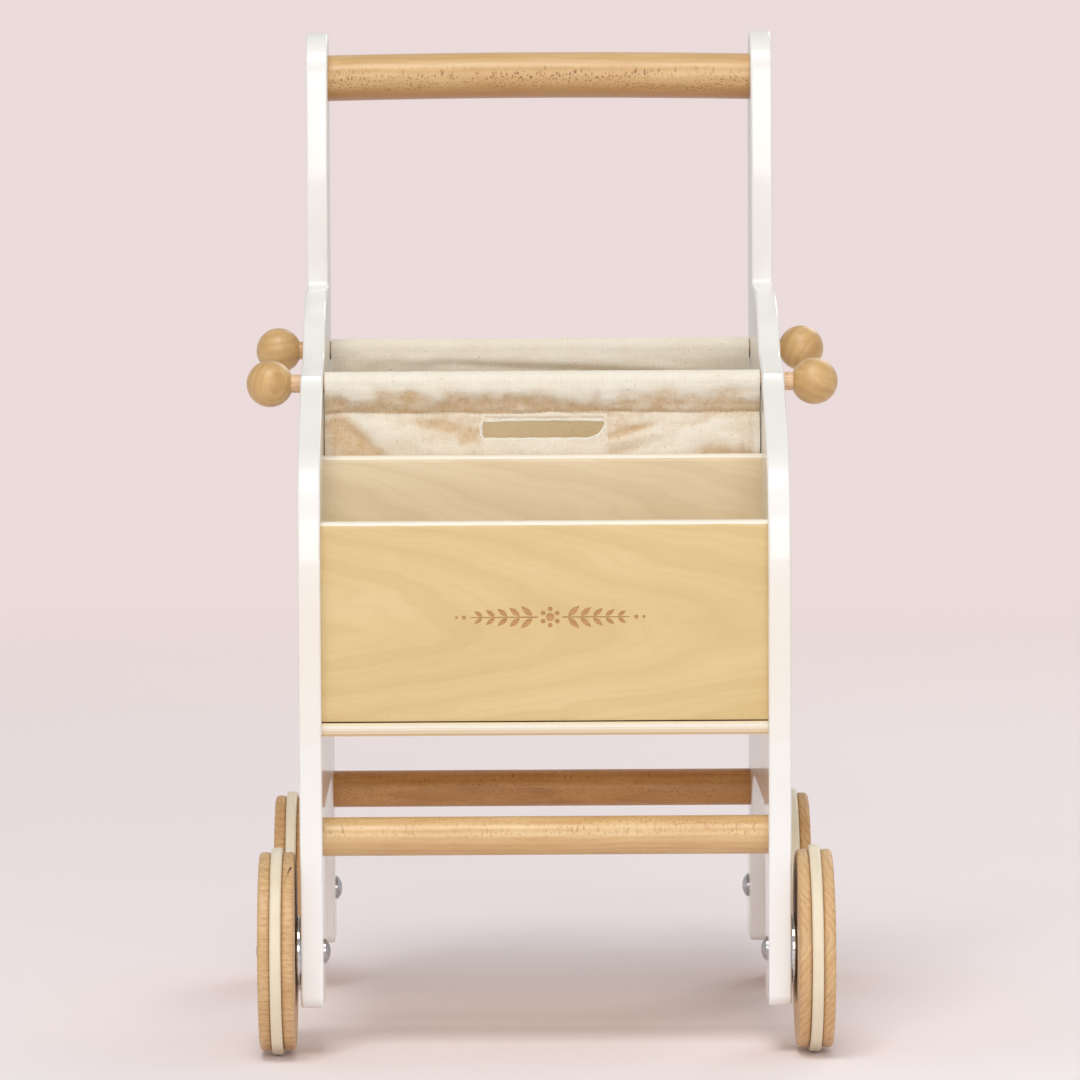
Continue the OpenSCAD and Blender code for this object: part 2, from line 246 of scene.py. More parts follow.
def beech(name, l=(1, 0, 0), r=(0, 0.5, 0.866), offset=(0, 0, 0), light=(234, 203, 158), mid=(222, 184, 136),
          dark=(196, 152, 104), fleck=(150, 98, 56), pith=(70, 25), period=2.6, ring=0.5, flecks=0.8, fine=0.5,
          rough=0.36, coat=0.25, bump=0.05, crack=None, zone_at=None, under_shade=0.0, coat_rough=0.22):
    """Solid beech: rings as a solid texture, fibres, and medullary rays that show as dashes or lines."""
    g = G(name)
    l, r = Vector(l).normalized(), Vector(r)
    r = (r - l * r.dot(l)).normalized()
    t = l.cross(r)
    p = g.mm(offset)
    L, R, T = axes_of(g, p, tuple(l), tuple(r), tuple(t))
    warp = g.sub(g.noise(g.xyz(g.mul(L, 0.014), g.mul(R, 0.05), g.mul(T, 0.05)), 1, 3, 0.55), 0.5)
    rr, tt = g.add(R, pith[0]), g.add(T, pith[1])
    d = g.m("SQRT", g.add(g.mul(rr, rr), g.mul(tt, tt)))
    d = g.add(d, g.mul(warp, 9.0))
    rings = g.m("FRACT", g.m("DIVIDE", d, period))
    rings = g.mapr(rings, 0.25, 0.92, 0.0, 1.0, "SMOOTHSTEP")
    rings = g.mul(rings, g.mapr(g.noise(g.xyz(g.mul(L, 0.02), g.mul(R, 0.12), g.mul(T, 0.12)), 1, 1), 0.3, 0.7, 0.35, 1.0))
    blotch = g.noise(g.xyz(g.mul(L, 0.02), g.mul(R, 0.11), g.mul(T, 0.11)), 1, 3, 0.6)
    fibre = g.noise(g.xyz(g.mul(L, 0.07), g.mul(R, 2.1), g.mul(T, 2.1)), 1, 4, 0.65)
    pores = g.noise(g.xyz(g.mul(L, 0.5), g.mul(R, 5.5), g.mul(T, 5.5)), 1, 2, 0.6)
    # rays: ribbons, short along the grain, long along the radius, thin across
    bend = g.mul(g.sub(g.noise(g.xyz(g.mul(L, 0.25), g.mul(R, 0.1), g.mul(T, 0.4)), 1, 2), 0.5), 1.5)
    dist, col = g.voronoi(g.xyz(g.add(g.mul(L, 0.40), g.mul(T, 0.25)), g.mul(R, 0.10), g.add(g.sub(g.mul(T, 1.2), g.mul(L, 0.09)), bend)))
    pick = g.step(g.sep(col)[0], 0.12, 0.3)
    zone = g.step(g.noise(g.xyz(g.mul(L, 0.03), g.mul(R, 0.16), g.mul(T, 0.16)), 1, 1), 0.38, 0.6)
    if zone_at:
        # flecks gather where the bar's surface faces across the rays
        yc, zc, ang, rad, lo_q, hi_q = zone_at
        w0 = g.sep(g.mm())
        around = g.add(g.mul(g.sub(w0[1], yc), math.cos(ang)), g.mul(g.sub(w0[2], zc), math.sin(ang)))
        around = g.add(g.m("DIVIDE", around, rad), g.mul(g.sub(g.noise(g.v("MULTIPLY", g.mm(), (0.03, 0.2, 0.2)), 1, 2), 0.5), 0.5))
        zone = g.mul(g.m("SUBTRACT", 1.0, g.step(g.m("ABSOLUTE", around), lo_q, hi_q)), g.mapr(zone, 0, 1, 0.45, 1.0))
        # how far below the bar's axis a point lies, for the painted shade on its underside
        underside_shade = g.m("DIVIDE", g.sub(zc, w0[2]), rad)
        underside_shade = g.step(underside_shade, 0.15, 0.9)
    rays = g.mul(g.mul(g.m("SUBTRACT", 1.0, g.step(dist, 0.14, 0.36)), pick), g.mapr(zone, 0, 1, 0.0 if zone_at else 0.2, 1.0))
    if zone_at:
        d2, c2 = g.voronoi(g.xyz(g.add(g.mul(L, 0.62), 7.0), g.mul(R, 0.16), g.add(g.mul(T, 1.9), g.mul(bend, 1.3))))
        small = g.mul(g.m("SUBTRACT", 1.0, g.step(d2, 0.18, 0.42)), g.step(g.sep(c2)[1], 0.08, 0.40))
        rays = g.m("MAXIMUM", rays, g.mul(g.mul(small, 0.9), zone))
    lines = g.noise(g.xyz(g.mul(L, 0.35), g.mul(R, 0.06), g.mul(T, 1.5)), 1, 2, 0.55)
    lines = g.step(lines, 0.44, 0.66)
    base = g.mix(g.mapr(blotch, 0.3, 0.7), lin(*light), lin(*mid))
    base = g.mix(g.mul(rings, ring), base, lin(*dark))
    base = g.shade(base, fibre, 0.90, 1.09)
    base = g.shade(base, pores, 0.965, 1.035)
    base = g.mix(g.mul(lines, fine * 0.5), base, lin(*dark))
    # the bar's underside darkened towards a deeper brown: painted shade
    if zone_at and under_shade:
        base = g.mix(g.mul(underside_shade, under_shade), base, lin(int(dark[0] * 0.98), int(dark[1] * 0.90), int(dark[2] * 0.94)))
    base = g.mix(g.mul(rays, flecks), base, lin(*fleck))
    height = g.sub(g.add(g.mul(fibre, 0.6), g.mul(pores, 0.3)), g.mul(rays, 0.5))
    if crack:
        a, b, w = crack
        a, b = Vector(a), Vector(b)
        ab = b - a
        raw = g.mm()
        rel = g.v("SUBTRACT", raw, tuple(a))
        h = g.m("DIVIDE", g.v("DOT_PRODUCT", rel, tuple(ab)), ab.length_squared, clamp=True)
        wob = g.mul(g.sub(g.noise(raw, 1.4, 2), 0.5), 0.9)
        near = g.v("SUBTRACT", rel, g.v("SCALE", tuple(ab), scale=h))
        dd = g.add(g.v("LENGTH", near), wob)
        gap = g.m("SUBTRACT", 1.0, g.step(dd, w * 0.5, w))
        base = g.mix(g.mul(gap, 0.85), base, lin(72, 42, 22))
        height = g.sub(height, g.mul(gap, 4.0))
    g.set(Base_Color=base, Coat_Weight=coat, Coat_Roughness=coat_rough)
    g.set(Roughness=g.mapr(g.add(fibre, g.mul(rays, 0.4)), 0.2, 0.9, rough - 0.05, rough + 0.10))
    g.set(Normal=g.bump(height, bump))
    g.bsdf.inputs["Specular IOR Level"].default_value = 0.42
    return g.mat


def ply(name, depth_axis, depth0, thick, light, mid, dark, seed=0.0, figure=(0.0, 0.0), stacks=None, grain_axis=0,
        contrast=1.0, rough=0.42, gap_shade=False):
    """Plywood: a rotary-cut face with a nested figure, and the plies where an edge cuts through them.
    depth_axis and depth0 say along which axis, and from where, the plies are stacked."""
    g = G(name)
    p = g.mm()
    xyz = g.sep(p)
    a = xyz[grain_axis]
    others = [i for i in range(3) if i not in (grain_axis, depth_axis)]
    b = xyz[others[0]]
    depth = xyz[depth_axis]
    lay = g.m("DIVIDE", g.sub(depth, depth0), thick)
    # figure: nested parabolas, drawn out along the grain and warped
    w1 = g.sub(g.noise(g.xyz(g.mul(a, 0.0055), g.mul(b, 0.017), seed), 1, 3, 0.55), 0.5)
    w2 = g.sub(g.noise(g.xyz(g.mul(a, 0.02), g.mul(b, 0.075), seed + 7.3), 1, 3, 0.6), 0.5)
    bb = g.sub(b, figure[1])
    f = g.add(g.mul(g.mul(bb, bb), 0.0011), g.mul(g.sub(a, figure[0]), 0.016))
    f = g.add(f, g.add(g.mul(w1, 3.4), g.mul(w2, 0.5)))
    band = g.m("SINE", g.mul(f, 4.6))
    band2 = g.m("SINE", g.mul(f, 15.0))
    broad = g.noise(g.xyz(g.mul(a, 0.006), g.mul(b, 0.02), seed + 3.1), 1, 2, 0.5)
    fibre = g.noise(g.xyz(g.mul(a, 0.055), g.mul(b, 1.4), g.mul(depth, 1.4)), 1, 4, 0.62)
    pores = g.noise(g.xyz(g.mul(a, 0.28), g.mul(b, 3.2), g.add(g.mul(depth, 3.2), seed)), 1, 2, 0.55)
    dist, col = g.voronoi(g.xyz(g.mul(a, 0.11), g.mul(b, 0.55), seed + 1.7))
    spot = g.mul(g.m("SUBTRACT", 1.0, g.step(dist, 0.03, 0.10)), g.step(g.sep(col)[1], 0.80, 0.86))
    face = g.mix(g.mapr(broad, 0.32, 0.68), lin(*light), lin(*mid))
    face = g.mix(g.mul(g.mapr(band, -0.4, 1.0, 0.0, 1.0, "SMOOTHSTEP"), 0.30 * contrast), face, lin(*dark))
    face = g.mix(g.mul(g.mapr(band2, 0.2, 1.0, 0.0, 1.0, "SMOOTHSTEP"), 0.16 * contrast), face, lin(*dark))
    face = g.shade(face, fibre, 0.945, 1.055)
    face = g.shade(face, pores, 0.985, 1.015)
    face = g.mix(g.mul(spot, 0.5), face, lin(*[int(c * 0.72) for c in dark]))
    stacks = stacks or [
        (0.0, None), (0.04, (246, 238, 222)), (0.30, (238, 226, 202)), (0.42, (246, 238, 221)),
        (0.60, (238, 225, 200)), (0.74, (245, 236, 218)), (0.96, None)]
    wav = g.mul(g.sub(g.noise(g.xyz(g.mul(a, 0.05), g.mul(b, 0.05), seed), 1, 2), 0.5), 0.045)
    lw = g.add(lay, wav)
    edge = None
    stops = [(0.0, lin(236, 214, 172))]
    for (q0, c0), (q1, _) in zip(stacks, stacks[1:] + [(1.0, None)]):
        if c0 is None:
            continue
        stops += [(q0 + 0.012, lin(*c0)), (q1 - 0.012, lin(*c0))]
    stops += [(1.0, lin(232, 208, 166))]
    stops = sorted(stops)
    edge = g.ramp(lw, stops)
    grit = g.noise(g.xyz(g.mul(xyz[0], 1.1), g.mul(xyz[1], 2.3), g.mul(xyz[2], 2.3)), 1, 3, 0.7)
    edge = g.shade(edge, grit, 0.90, 1.08)
    glue = None
    for q, _ in stacks[1:]:
        k = g.m("SUBTRACT", 1.0, g.step(g.m("ABSOLUTE", g.sub(lw, q)), 0.0, 0.018))
        glue = k if glue is None else g.m("MAXIMUM", glue, k)
    edge = g.mix(g.mul(glue, 0.42), edge, lin(176, 138, 92))
    inside = g.mul(g.step(lw, stacks[1][0] - 0.02, stacks[1][0]), g.m("SUBTRACT", 1.0, g.step(lw, stacks[-1][0], stacks[-1][0] + 0.02)))
    colour = g.mix(inside, face, edge)
    if gap_shade:
        # painted shade: a dark line on the shelf's top face in the gap under the front board
        gap_shade_mask = g.mul(g.step(xyz[2], 177.6, 177.95), g.m("SUBTRACT", 1.0, g.step(xyz[1], 18.3 - Y0, 18.9 - Y0)))
        gap_shade_mask = g.mul(gap_shade_mask, g.step(xyz[1], 8.9 - Y0, 9.6 - Y0))
        colour = g.mix(g.mul(gap_shade_mask, 0.97), colour, lin(46, 26, 12))
    g.set(Base_Color=colour, Roughness=g.mapr(fibre, 0.2, 0.8, rough - 0.04, rough + 0.08), Coat_Weight=0.12, Coat_Roughness=0.3)
    g.set(Normal=g.bump(g.add(g.add(g.mul(fibre, 0.5), g.mul(pores, 0.4)), g.mul(g.mul(grit, inside), 1.2)), 0.035))
    g.bsdf.inputs["Specular IOR Level"].default_value = 0.35
    return g.mat


# ------------------------------------------------------------------ other materials

def paint(name):
    """White satin paint over sanded wood."""
    g = G(name)
    p = g.mm()
    cloud = g.noise(p, 0.018, 3, 0.5)
    peel = g.noise(p, 0.55, 3, 0.55)
    wave = g.noise(p, 0.06, 2, 0.5)
    dust = g.noise(p, 2.6, 2, 0.6)
    dist, col = g.voronoi(p, 0.055)
    nib = g.mul(g.m("SUBTRACT", 1.0, g.step(dist, 0.010, 0.028)), g.step(g.sep(col)[0], 0.80, 0.82))
    base = g.mix(g.mapr(cloud, 0.3, 0.7), lin(240, 239, 236), lin(237, 235, 230))
    base = g.shade(base, dust, 0.99, 1.01)
    geo = g.nt.nodes.new("ShaderNodeNewGeometry")
    nx = g.m("ABSOLUTE", g.sep(geo.outputs["Normal"])[0])
    rim = g.mul(g.step(nx, 0.30, 0.55), g.m("SUBTRACT", 1.0, g.step(nx, 0.88, 0.97)))
    worn = g.mul(rim, g.step(g.noise(p, 0.11, 4, 0.65), 0.56, 0.66))
    base = g.mix(g.mul(worn, 0.25), base, lin(238, 228, 210))
    q = g.sep(p)
    # darker band on the panels' front edges, between about 163 and 330 mm height: painted shade
    band = g.mul(g.step(q[2], 163.0, 171.0), g.m("SUBTRACT", 1.0, g.step(q[2], 215.0, 330.0)))
    band = g.mul(band, g.m("SUBTRACT", 1.0, g.step(q[1], -166.0, -161.0)))
    base = g.mix(g.mul(band, 0.85), base, lin(236, 228, 217))
    # the paint turns a brighter white below about 165 mm, fully below 60 mm: painted light on the legs
    base = g.mix(g.mul(g.m("SUBTRACT", 1.0, g.step(q[2], 60.0, 165.0)), 0.9), base, lin(248, 249, 250))
    base = g.mix(g.mul(nib, 0.6), base, lin(196, 184, 168))
    g.set(Base_Color=base, Roughness=g.mapr(wave, 0.3, 0.7, 0.30, 0.40), Coat_Weight=0.55, Coat_Roughness=0.07)
    g.set(Normal=g.bump(g.add(g.add(g.mul(peel, 0.35), g.mul(wave, 2.2)), g.mul(nib, 1.5)), 0.045))
    g.bsdf.inputs["Specular IOR Level"].default_value = 0.45
    return g.mat


def rubber(name):
    g = G(name)
    p = g.mm()
    cloud = g.noise(p, 0.06, 3, 0.5)
    grain = g.noise(p, 3.0, 3, 0.6)
    dist, col = g.voronoi(p, 0.35)
    speck = g.mul(g.m("SUBTRACT", 1.0, g.step(dist, 0.06, 0.16)), g.step(g.sep(col)[0], 0.75, 0.8))
    base = g.mix(g.mapr(cloud, 0.3, 0.7), lin(234, 223, 199), lin(228, 215, 187))
    base = g.shade(base, grain, 0.97, 1.02)
    base = g.mix(g.mul(speck, 0.3), base, lin(205, 188, 155))
    g.set(Base_Color=base, Roughness=g.mapr(grain, 0.3, 0.7, 0.42, 0.54), Coat_Weight=0.1, Coat_Roughness=0.3)
    g.set(Normal=g.bump(grain, 0.06))
    return g.mat


def steel(name, tint=(196, 197, 201), rough=0.2, centre=None, brushed=1.0):
    """Bright plated steel, with fine turning marks about an axis along X when centre is given."""
    g = G(name)
    p = g.mm()
    if centre is not None:
        s = g.sep(p)
        # the four axles lie at the same height and at two places along Y
        yy = g.sub(g.m("ABSOLUTE", s[1]), abs(centre[1]))
        rad = g.m("SQRT", g.add(g.mul(yy, yy), g.mul(g.sub(s[2], centre[2]), g.sub(s[2], centre[2]))))
        marks = g.noise(g.xyz(g.mul(rad, 5.0), 0.0, g.mul(s[0], 0.2)), 1, 3, 0.7)
    else:
        marks = g.noise(g.v("MULTIPLY", p, (1.0, 4.0, 4.0)), 1.2, 3, 0.7)
    smudge = g.noise(p, 0.35, 3, 0.6)
    base = g.mix(g.mapr(smudge, 0.35, 0.7), lin(*tint), lin(*[int(c * 0.86) for c in tint]))
    g.set(Base_Color=base, Metallic=1.0)
    g.set(Roughness=g.mapr(g.add(g.mul(marks, 0.6), g.mul(smudge, 0.4)), 0.25, 0.75, rough * 0.7, rough * 1.6))
    g.set(Normal=g.bump(marks, 0.012 * brushed))
    return g.mat


def canvas(name, light=(249, 243, 230), mid=(240, 229, 206), tan=(208, 167, 108), bounce_warm=(253, 221, 158), pitch=0.62):
    """Unbleached cotton canvas. The UV map holds millimetres along the two threads. The fold_shade attribute paints
    shade into the colour as tan, and the inside attribute paints warm bounce light.
    """
    g = G(name)
    uv = g.nt.nodes.new("ShaderNodeUVMap")
    uv.uv_map = "cloth"
    s = g.sep(g.v("SCALE", uv.outputs[0], scale=1000.0))
    u, v = s[0], s[1]
    wob = g.mul(g.sub(g.noise(g.xyz(g.mul(u, 0.11), g.mul(v, 0.11), 0.0), 1, 4, 0.6), 0.5), 2.6)
    uu, vv = g.m("DIVIDE", g.add(u, wob), pitch), g.m("DIVIDE", g.add(v, wob), pitch)
    cu, cv = g.m("FLOOR", uu), g.m("FLOOR", vv)
    su, sv = g.m("ABSOLUTE", g.m("SINE", g.mul(uu, math.pi))), g.m("ABSOLUTE", g.m("SINE", g.mul(vv, math.pi)))
    par = g.m("FRACT", g.mul(g.add(cu, cv), 0.5))  # 0 or 0.5
    over = g.m("GREATER_THAN", par, 0.25)
    warp_h = g.mul(g.m("POWER", su, 0.6), g.mapr(over, 0, 1, 0.45, 1.0))
    weft_h = g.mul(g.m("POWER", sv, 0.6), g.mapr(over, 0, 1, 1.0, 0.45))
    weave = g.m("MAXIMUM", g.mul(warp_h, g.mapr(over, 0, 1, 0.7, 1.0)), g.mul(weft_h, g.mapr(over, 0, 1, 1.0, 0.7)))
    slub_u = g.noise(g.xyz(g.mul(u, 1.6), g.mul(v, 0.10), 1.0), 1, 2, 0.6)
    slub_v = g.noise(g.xyz(g.mul(u, 0.10), g.mul(v, 1.6), 9.0), 1, 2, 0.6)
    slub = g.m("MAXIMUM", slub_u, slub_v)
    fuzz = g.noise(g.xyz(u, v, 0.0), 1.25, 3, 0.7)
    cloud = g.noise(g.xyz(u, v, 4.0), 0.035, 3, 0.5)
    dist, col = g.voronoi(g.xyz(u, v, 0.0), 0.30)
    c0 = g.sep(col)
    size = g.mapr(c0[1], 0.0, 1.0, 0.03, 0.115)
    seed = g.mul(g.m("SUBTRACT", 1.0, g.step(dist, g.mul(size, 0.5), size)), g.step(c0[0], 0.40, 0.44))
    d2, col2 = g.voronoi(g.xyz(g.mul(u, 1.0), g.mul(v, 0.35), 5.0), 0.5)
    seed2 = g.mul(g.m("SUBTRACT", 1.0, g.step(d2, 0.05, 0.16)), g.step(g.sep(col2)[0], 0.60, 0.64))
    base = g.mix(g.mul(g.mapr(cloud, 0.3, 0.7), 0.5), lin(*light), lin(*mid))
    fold_shade = g.attr("fold_shade")
    # the inside attribute mixes in a warm tint: painted bounce light on the bag's inner faces
    base = g.mix(g.attr("inside"), base, lin(*bounce_warm))
    feather = g.mul(g.sub(g.noise(g.xyz(u, v, 2.0), 0.32, 6, 0.78), 0.5), 1.25)
    # the painted fold shade, feathered at its edges, mixes the cloth towards tan: painted shade
    fold_shade_tint = g.m("MULTIPLY", g.m("ADD", fold_shade, g.mul(feather, g.m("MINIMUM", g.mul(fold_shade, 2.5), 1.0))), 0.86, clamp=True)
    base = g.mix(fold_shade_tint, base, lin(*tan))
    base = g.shade(base, weave, 0.985, 1.006)
    base = g.shade(base, g.mapr(slub, 0.4, 0.75), 0.94, 1.05)
    base = g.shade(base, fuzz, 0.84, 1.13)
    grit = g.noise(g.xyz(u, v, 6.0), 2.1, 2, 0.7)
    # dark grit specks, stronger where the painted fold shade lies: partly the cloth's own specks, partly painted shade
    base = g.mix(g.mul(g.step(grit, 0.56, 0.74), g.mapr(fold_shade, 0.0, 0.6, 0.16, 0.42)), base, lin(150, 112, 66))
    base = g.mix(g.mul(seed, 0.85), base, lin(126, 92, 58))
    base = g.mix(g.mul(seed2, 0.50), base, lin(166, 128, 84))
    g.set(Base_Color=base, Roughness=g.mapr(fuzz, 0.2, 0.8, 0.82, 0.95), Sheen_Weight=0.25, Sheen_Roughness=0.5)
    g.bsdf.inputs["Sheen Tint"].default_value = lin(250, 240, 222)
    g.bsdf.inputs["Specular IOR Level"].default_value = 0.15
    h = g.add(g.mul(weave, 0.55), g.add(g.mul(g.mapr(slub, 0.4, 0.75), 0.5), g.mul(fuzz, 1.2)))
    g.set(Normal=g.bump(h, 0.16, 0.8))
    return g.mat


def thread(name):
    g = G(name)
    p = g.mm()
    twist = g.noise(g.v("MULTIPLY", p, (3.0, 6.0, 6.0)), 1, 2, 0.6)
    base = g.mix(g.mapr(twist, 0.3, 0.7), lin(248, 242, 228), lin(226, 212, 186))
    g.set(Base_Color=base, Roughness=g.mapr(twist, 0.3, 0.7, 0.6, 0.8), Sheen_Weight=0.2)
    g.set(Normal=g.bump(twist, 0.08))
    return g.mat


def brass(name):
    g = G(name)
    p = g.mm()
    n1 = g.noise(p, 0.5, 3, 0.6)
    base = g.mix(g.mapr(n1, 0.3, 0.7), lin(206, 176, 108), lin(180, 148, 84))
    g.set(Base_Color=base, Metallic=1.0, Roughness=g.mapr(n1, 0.3, 0.7, 0.25, 0.4))
    g.set(Normal=g.bump(g.noise(p, 4.0, 2), 0.01))
    return g.mat


def burnt(name):
    """The scorched floor of the engraving."""
    g = G(name)
    p = g.mm()
    s = g.sep(p)
    fibre = g.noise(g.xyz(g.mul(s[0], 0.16), g.mul(s[1], 2.0), g.mul(s[2], 1.8)), 1, 4, 0.65)
    grit = g.noise(p, 2.4, 3, 0.7)
    base = g.mix(g.mapr(fibre, 0.3, 0.7), lin(206, 163, 108), lin(178, 128, 80))
    base = g.shade(base, grit, 0.90, 1.06)
    g.set(Base_Color=base, Roughness=g.mapr(grit, 0.3, 0.7, 0.7, 0.9))
    g.set(Normal=g.bump(g.add(fibre, grit), 0.08))
    return g.mat


def give(names, mat):
    for n in names:
        o = nodes[n]
        o.data.materials.clear()
        o.data.materials.append(mat)
        for poly in o.data.polygons:
            poly.material_index = 0


# ------------------------------------------------------------------ mesh helpers

def new_object(name, verts, faces, mat, smooth=True):
    me = bpy.data.meshes.new(name)
    me.from_pydata([tuple(v) for v in verts], [], [tuple(f) for f in faces])
    me.validate()
    me.materials.append(mat)
    me.polygons.foreach_set("use_smooth", [smooth] * len(me.polygons))
    ob = bpy.data.objects.new(name, me)
    scene.collection.objects.link(ob)
    me.update()
    return ob


def outward(ob):
    bm = bmesh.new()
    bm.from_mesh(ob.data)
    bmesh.ops.recalc_face_normals(bm, faces=bm.faces)
    bm.to_mesh(ob.data)
    bm.free()
    ob.data.update()


def arc(c, r, a0, a1, n):
    return [(c[0] + r * math.cos(math.radians(a0 + (a1 - a0) * i / n)),
             c[1] + r * math.sin(math.radians(a0 + (a1 - a0) * i / n))) for i in range(n + 1)]


def bez(a, b, c, d, n):
    out = []
    for i in range(n):
        t = i / n
        u = 1 - t
        out.append(tuple(u ** 3 * a[k] + 3 * u * u * t * b[k] + 3 * u * t * t * c[k] + t ** 3 * d[k] for k in (0, 1)))
    return out


# ------------------------------------------------------------------ side panels

LEG_Z, ARCH_Z, ARM_R, ARM_Y, HANDLE_Z = 26.0, 127.5, 25.0, 262.0, 517.5
OUT_X, IN_X = 130.0, 118.0
c8, s8 = math.cos(math.radians(8)), math.sin(math.radians(8))
OUTLINE = (
    arc((14, LEG_Z + 6), 6, 270, 183, 8)
    + bez((0, 244), (-1.5, 284), (7, 311), (28, 323), 24)
    + bez((28, 323), (44, 332.4), (60, 342), (75, 351), 6)
    + bez((75, 351), (78.5, 353.2), (80.5, 355.4), (82, 358.3), 6)
    + [(82, 358.3), (104, 362.1)]
    + bez((126, 365.8), (136, 367.6), (143, 377), (152, 383.5), 14)
    + bez((152, 383.5), (163, 391.5), (180, 398), (202, 399.7), 14)
    + arc((232, 405), 4, 270, 352, 7)
    + bez((235.5, 412), (231, 440), (231.5, 486), (ARM_Y - ARM_R * c8, HANDLE_Z + ARM_R * s8), 24)
    + arc((ARM_Y, HANDLE_Z), ARM_R, 172, 4, 48)
    + bez((ARM_Y + ARM_R, HANDLE_Z - 8), (286, 430), (286, 300), (294, 190), 34)
    + bez((294, 190), (299, 125), (311, 76), (327, 40), 24)
    + arc((322.5, LEG_Z + 7), 7, 15, -90, 9)
    + arc((288, LEG_Z + 6), 6, 270, 187, 8)
    + bez((280, 44), (277, 92), (252, ARCH_Z), (215, ARCH_Z), 24)
    + arc((72, ARCH_Z - 14), 14, 90, 180, 12)
    + arc((52, LEG_Z + 6), 6, 0, -90, 8)
)


def clean_outline(pts, tol=0.05):
    out = []
    for p in pts:
        if not out or math.dist(out[-1], p) > tol:
            out.append(p)
    if math.dist(out[0], out[-1]) <= tol:
        out.pop()
    return np.array(out)


def inset_ring(pts, d):
    """The closed outline moved inwards by d, with mitred corners held in check."""
    n = len(pts)
    prv, nxt = np.roll(pts, 1, 0), np.roll(pts, -1, 0)
    e0, e1 = pts - prv, nxt - pts
    n0 = np.stack([-e0[:, 1], e0[:, 0]], 1) / np.linalg.norm(e0, axis=1)[:, None]
    n1 = np.stack([-e1[:, 1], e1[:, 0]], 1) / np.linalg.norm(e1, axis=1)[:, None]
    m = n0 + n1
    m /= np.linalg.norm(m, axis=1)[:, None]
    k = np.clip(1 / np.maximum((m * n0).sum(1), 0.5), 1, 1.4)
    area = 0.5 * np.sum(pts[:, 0] * nxt[:, 1] - nxt[:, 0] * pts[:, 1])
    return pts + m * (k * d)[:, None] * (1 if area > 0 else -1)


def hole_profile(kind):
    """(radius, depth from the outer face) of a hole, outer face to inner face."""
    t = OUT_X - IN_X
    if kind == "rod":
        return [(5.6, 0.0), (5.30, 0.12), (5.12, 0.45), (5.09, 1.0), (5.09, t - 1.0), (5.12, t - 0.45), (5.30, t - 0.12), (5.6, t)]
    if kind == "axle":
        return [(4.06, 0.0), (4.06, t)]
    shank, head = {"big": (5, 10), "small": (3.5, 7)}[kind]
    return [(head / 2 + 0.05, 0.0), (head / 2 + 0.05, 0.2), (shank / 2 + 0.05, 0.2 + (head - shank) / 2), (shank / 2 + 0.05, t)]


HOLES = (
    [("rod", 102.0, 353.3), ("rod", 266.0, 364.3), ("axle", 24.0, 55.0), ("axle", 309.0, 55.0),
     ("big", ARM_Y, HANDLE_Z), ("big", 29.0, 115.5), ("big", 272.0, 115.5)]
    + [("small", y, 174.5) for y in (62.0, 238.0)]
    + [("small", 14.0, z) for z in (202.0, 262.0)]
    + [("small", 90.0, z) for z in (206.0, 288.0)]
)


def side_panel(side, mat):
    r = 1.4
    seg = 5
    base = clean_outline(OUTLINE)
    verts, faces = [], []

    def put(yz, x):
        i0 = len(verts)
        for y, z in yz:
            verts.append((side * x / 1000, (y - Y0) / 1000, z / 1000))
        return list(range(i0, i0 + len(yz)))

    rings = []
    for k in range(seg + 1):
        a = math.pi / 2 * k / seg
        rings.append((r * (1 - math.sin(a)), OUT_X - r * (1 - math.cos(a))))
    mids = [(0.0, x) for x in (OUT_X - 4.5, (OUT_X + IN_X) / 2, IN_X + 4.5)]
    back = [(d, IN_X + OUT_X - x) for d, x in reversed(rings)]
    loops = [put(inset_ring(base, d) if d > 1e-6 else base, x) for d, x in rings + mids + back]
    n = len(base)
    for A, B in zip(loops, loops[1:]):
        for i in range(n):
            j = (i + 1) % n
            faces.append((A[i], A[j], B[j], B[i]))
    outer_holes, inner_holes = [], []
    for kind, y, z in HOLES:
        prof = hole_profile(kind)
        m = 40 if kind in ("rod", "big") else 28
        hl = [put([(y + rad * math.cos(2 * math.pi * i / m), z + rad * math.sin(2 * math.pi * i / m)) for i in range(m)], OUT_X - dep) for rad, dep in prof]
        for A, B in zip(hl, hl[1:]):
            for i in range(m):
                j = (i + 1) % m
                faces.append((A[i], B[i], B[j], A[j]))
        outer_holes.append(hl[0])
        inner_holes.append(hl[-1])
    for loop, holes in ((loops[0], outer_holes), (loops[-1], inner_holes)):
        polys = [[Vector((verts[i][1] * 1000, verts[i][2] * 1000, 0)) for i in lp] for lp in [loop] + holes]
        flat = [i for lp in [loop] + holes for i in lp]
        for tri in tessellate_polygon(polys):
            faces.append(tuple(flat[k] for k in tri))
    name = "side_panel_shell_left" if side < 0 else "side_panel_shell_right"
    ob = new_object(name, verts, faces, mat)
    outward(ob)
    wn = ob.modifiers.new("normals", "WEIGHTED_NORMAL")
    wn.mode = "FACE_AREA"
    wn.weight = 100
    wn.keep_sharp = True
    me = ob.data
    sharp_edges(me, 40)
    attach(ob, "frame")
    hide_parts("side_panel_left" if side < 0 else "side_panel_right")
    return ob


def sharp_edges(me, degrees):
    bm = bmesh.new()
    bm.from_mesh(me)
    lim = math.radians(degrees)
    for e in bm.edges:
        if len(e.link_faces) == 2:
            e.smooth = e.calc_face_angle(0) < lim
    bm.to_mesh(me)
    bm.free()
    me.update()


WHITE = paint("white_paint")
panel_l = side_panel(-1, WHITE)
panel_r = side_panel(1, WHITE)

# ------------------------------------------------------------------ handle bar, very slightly bowed

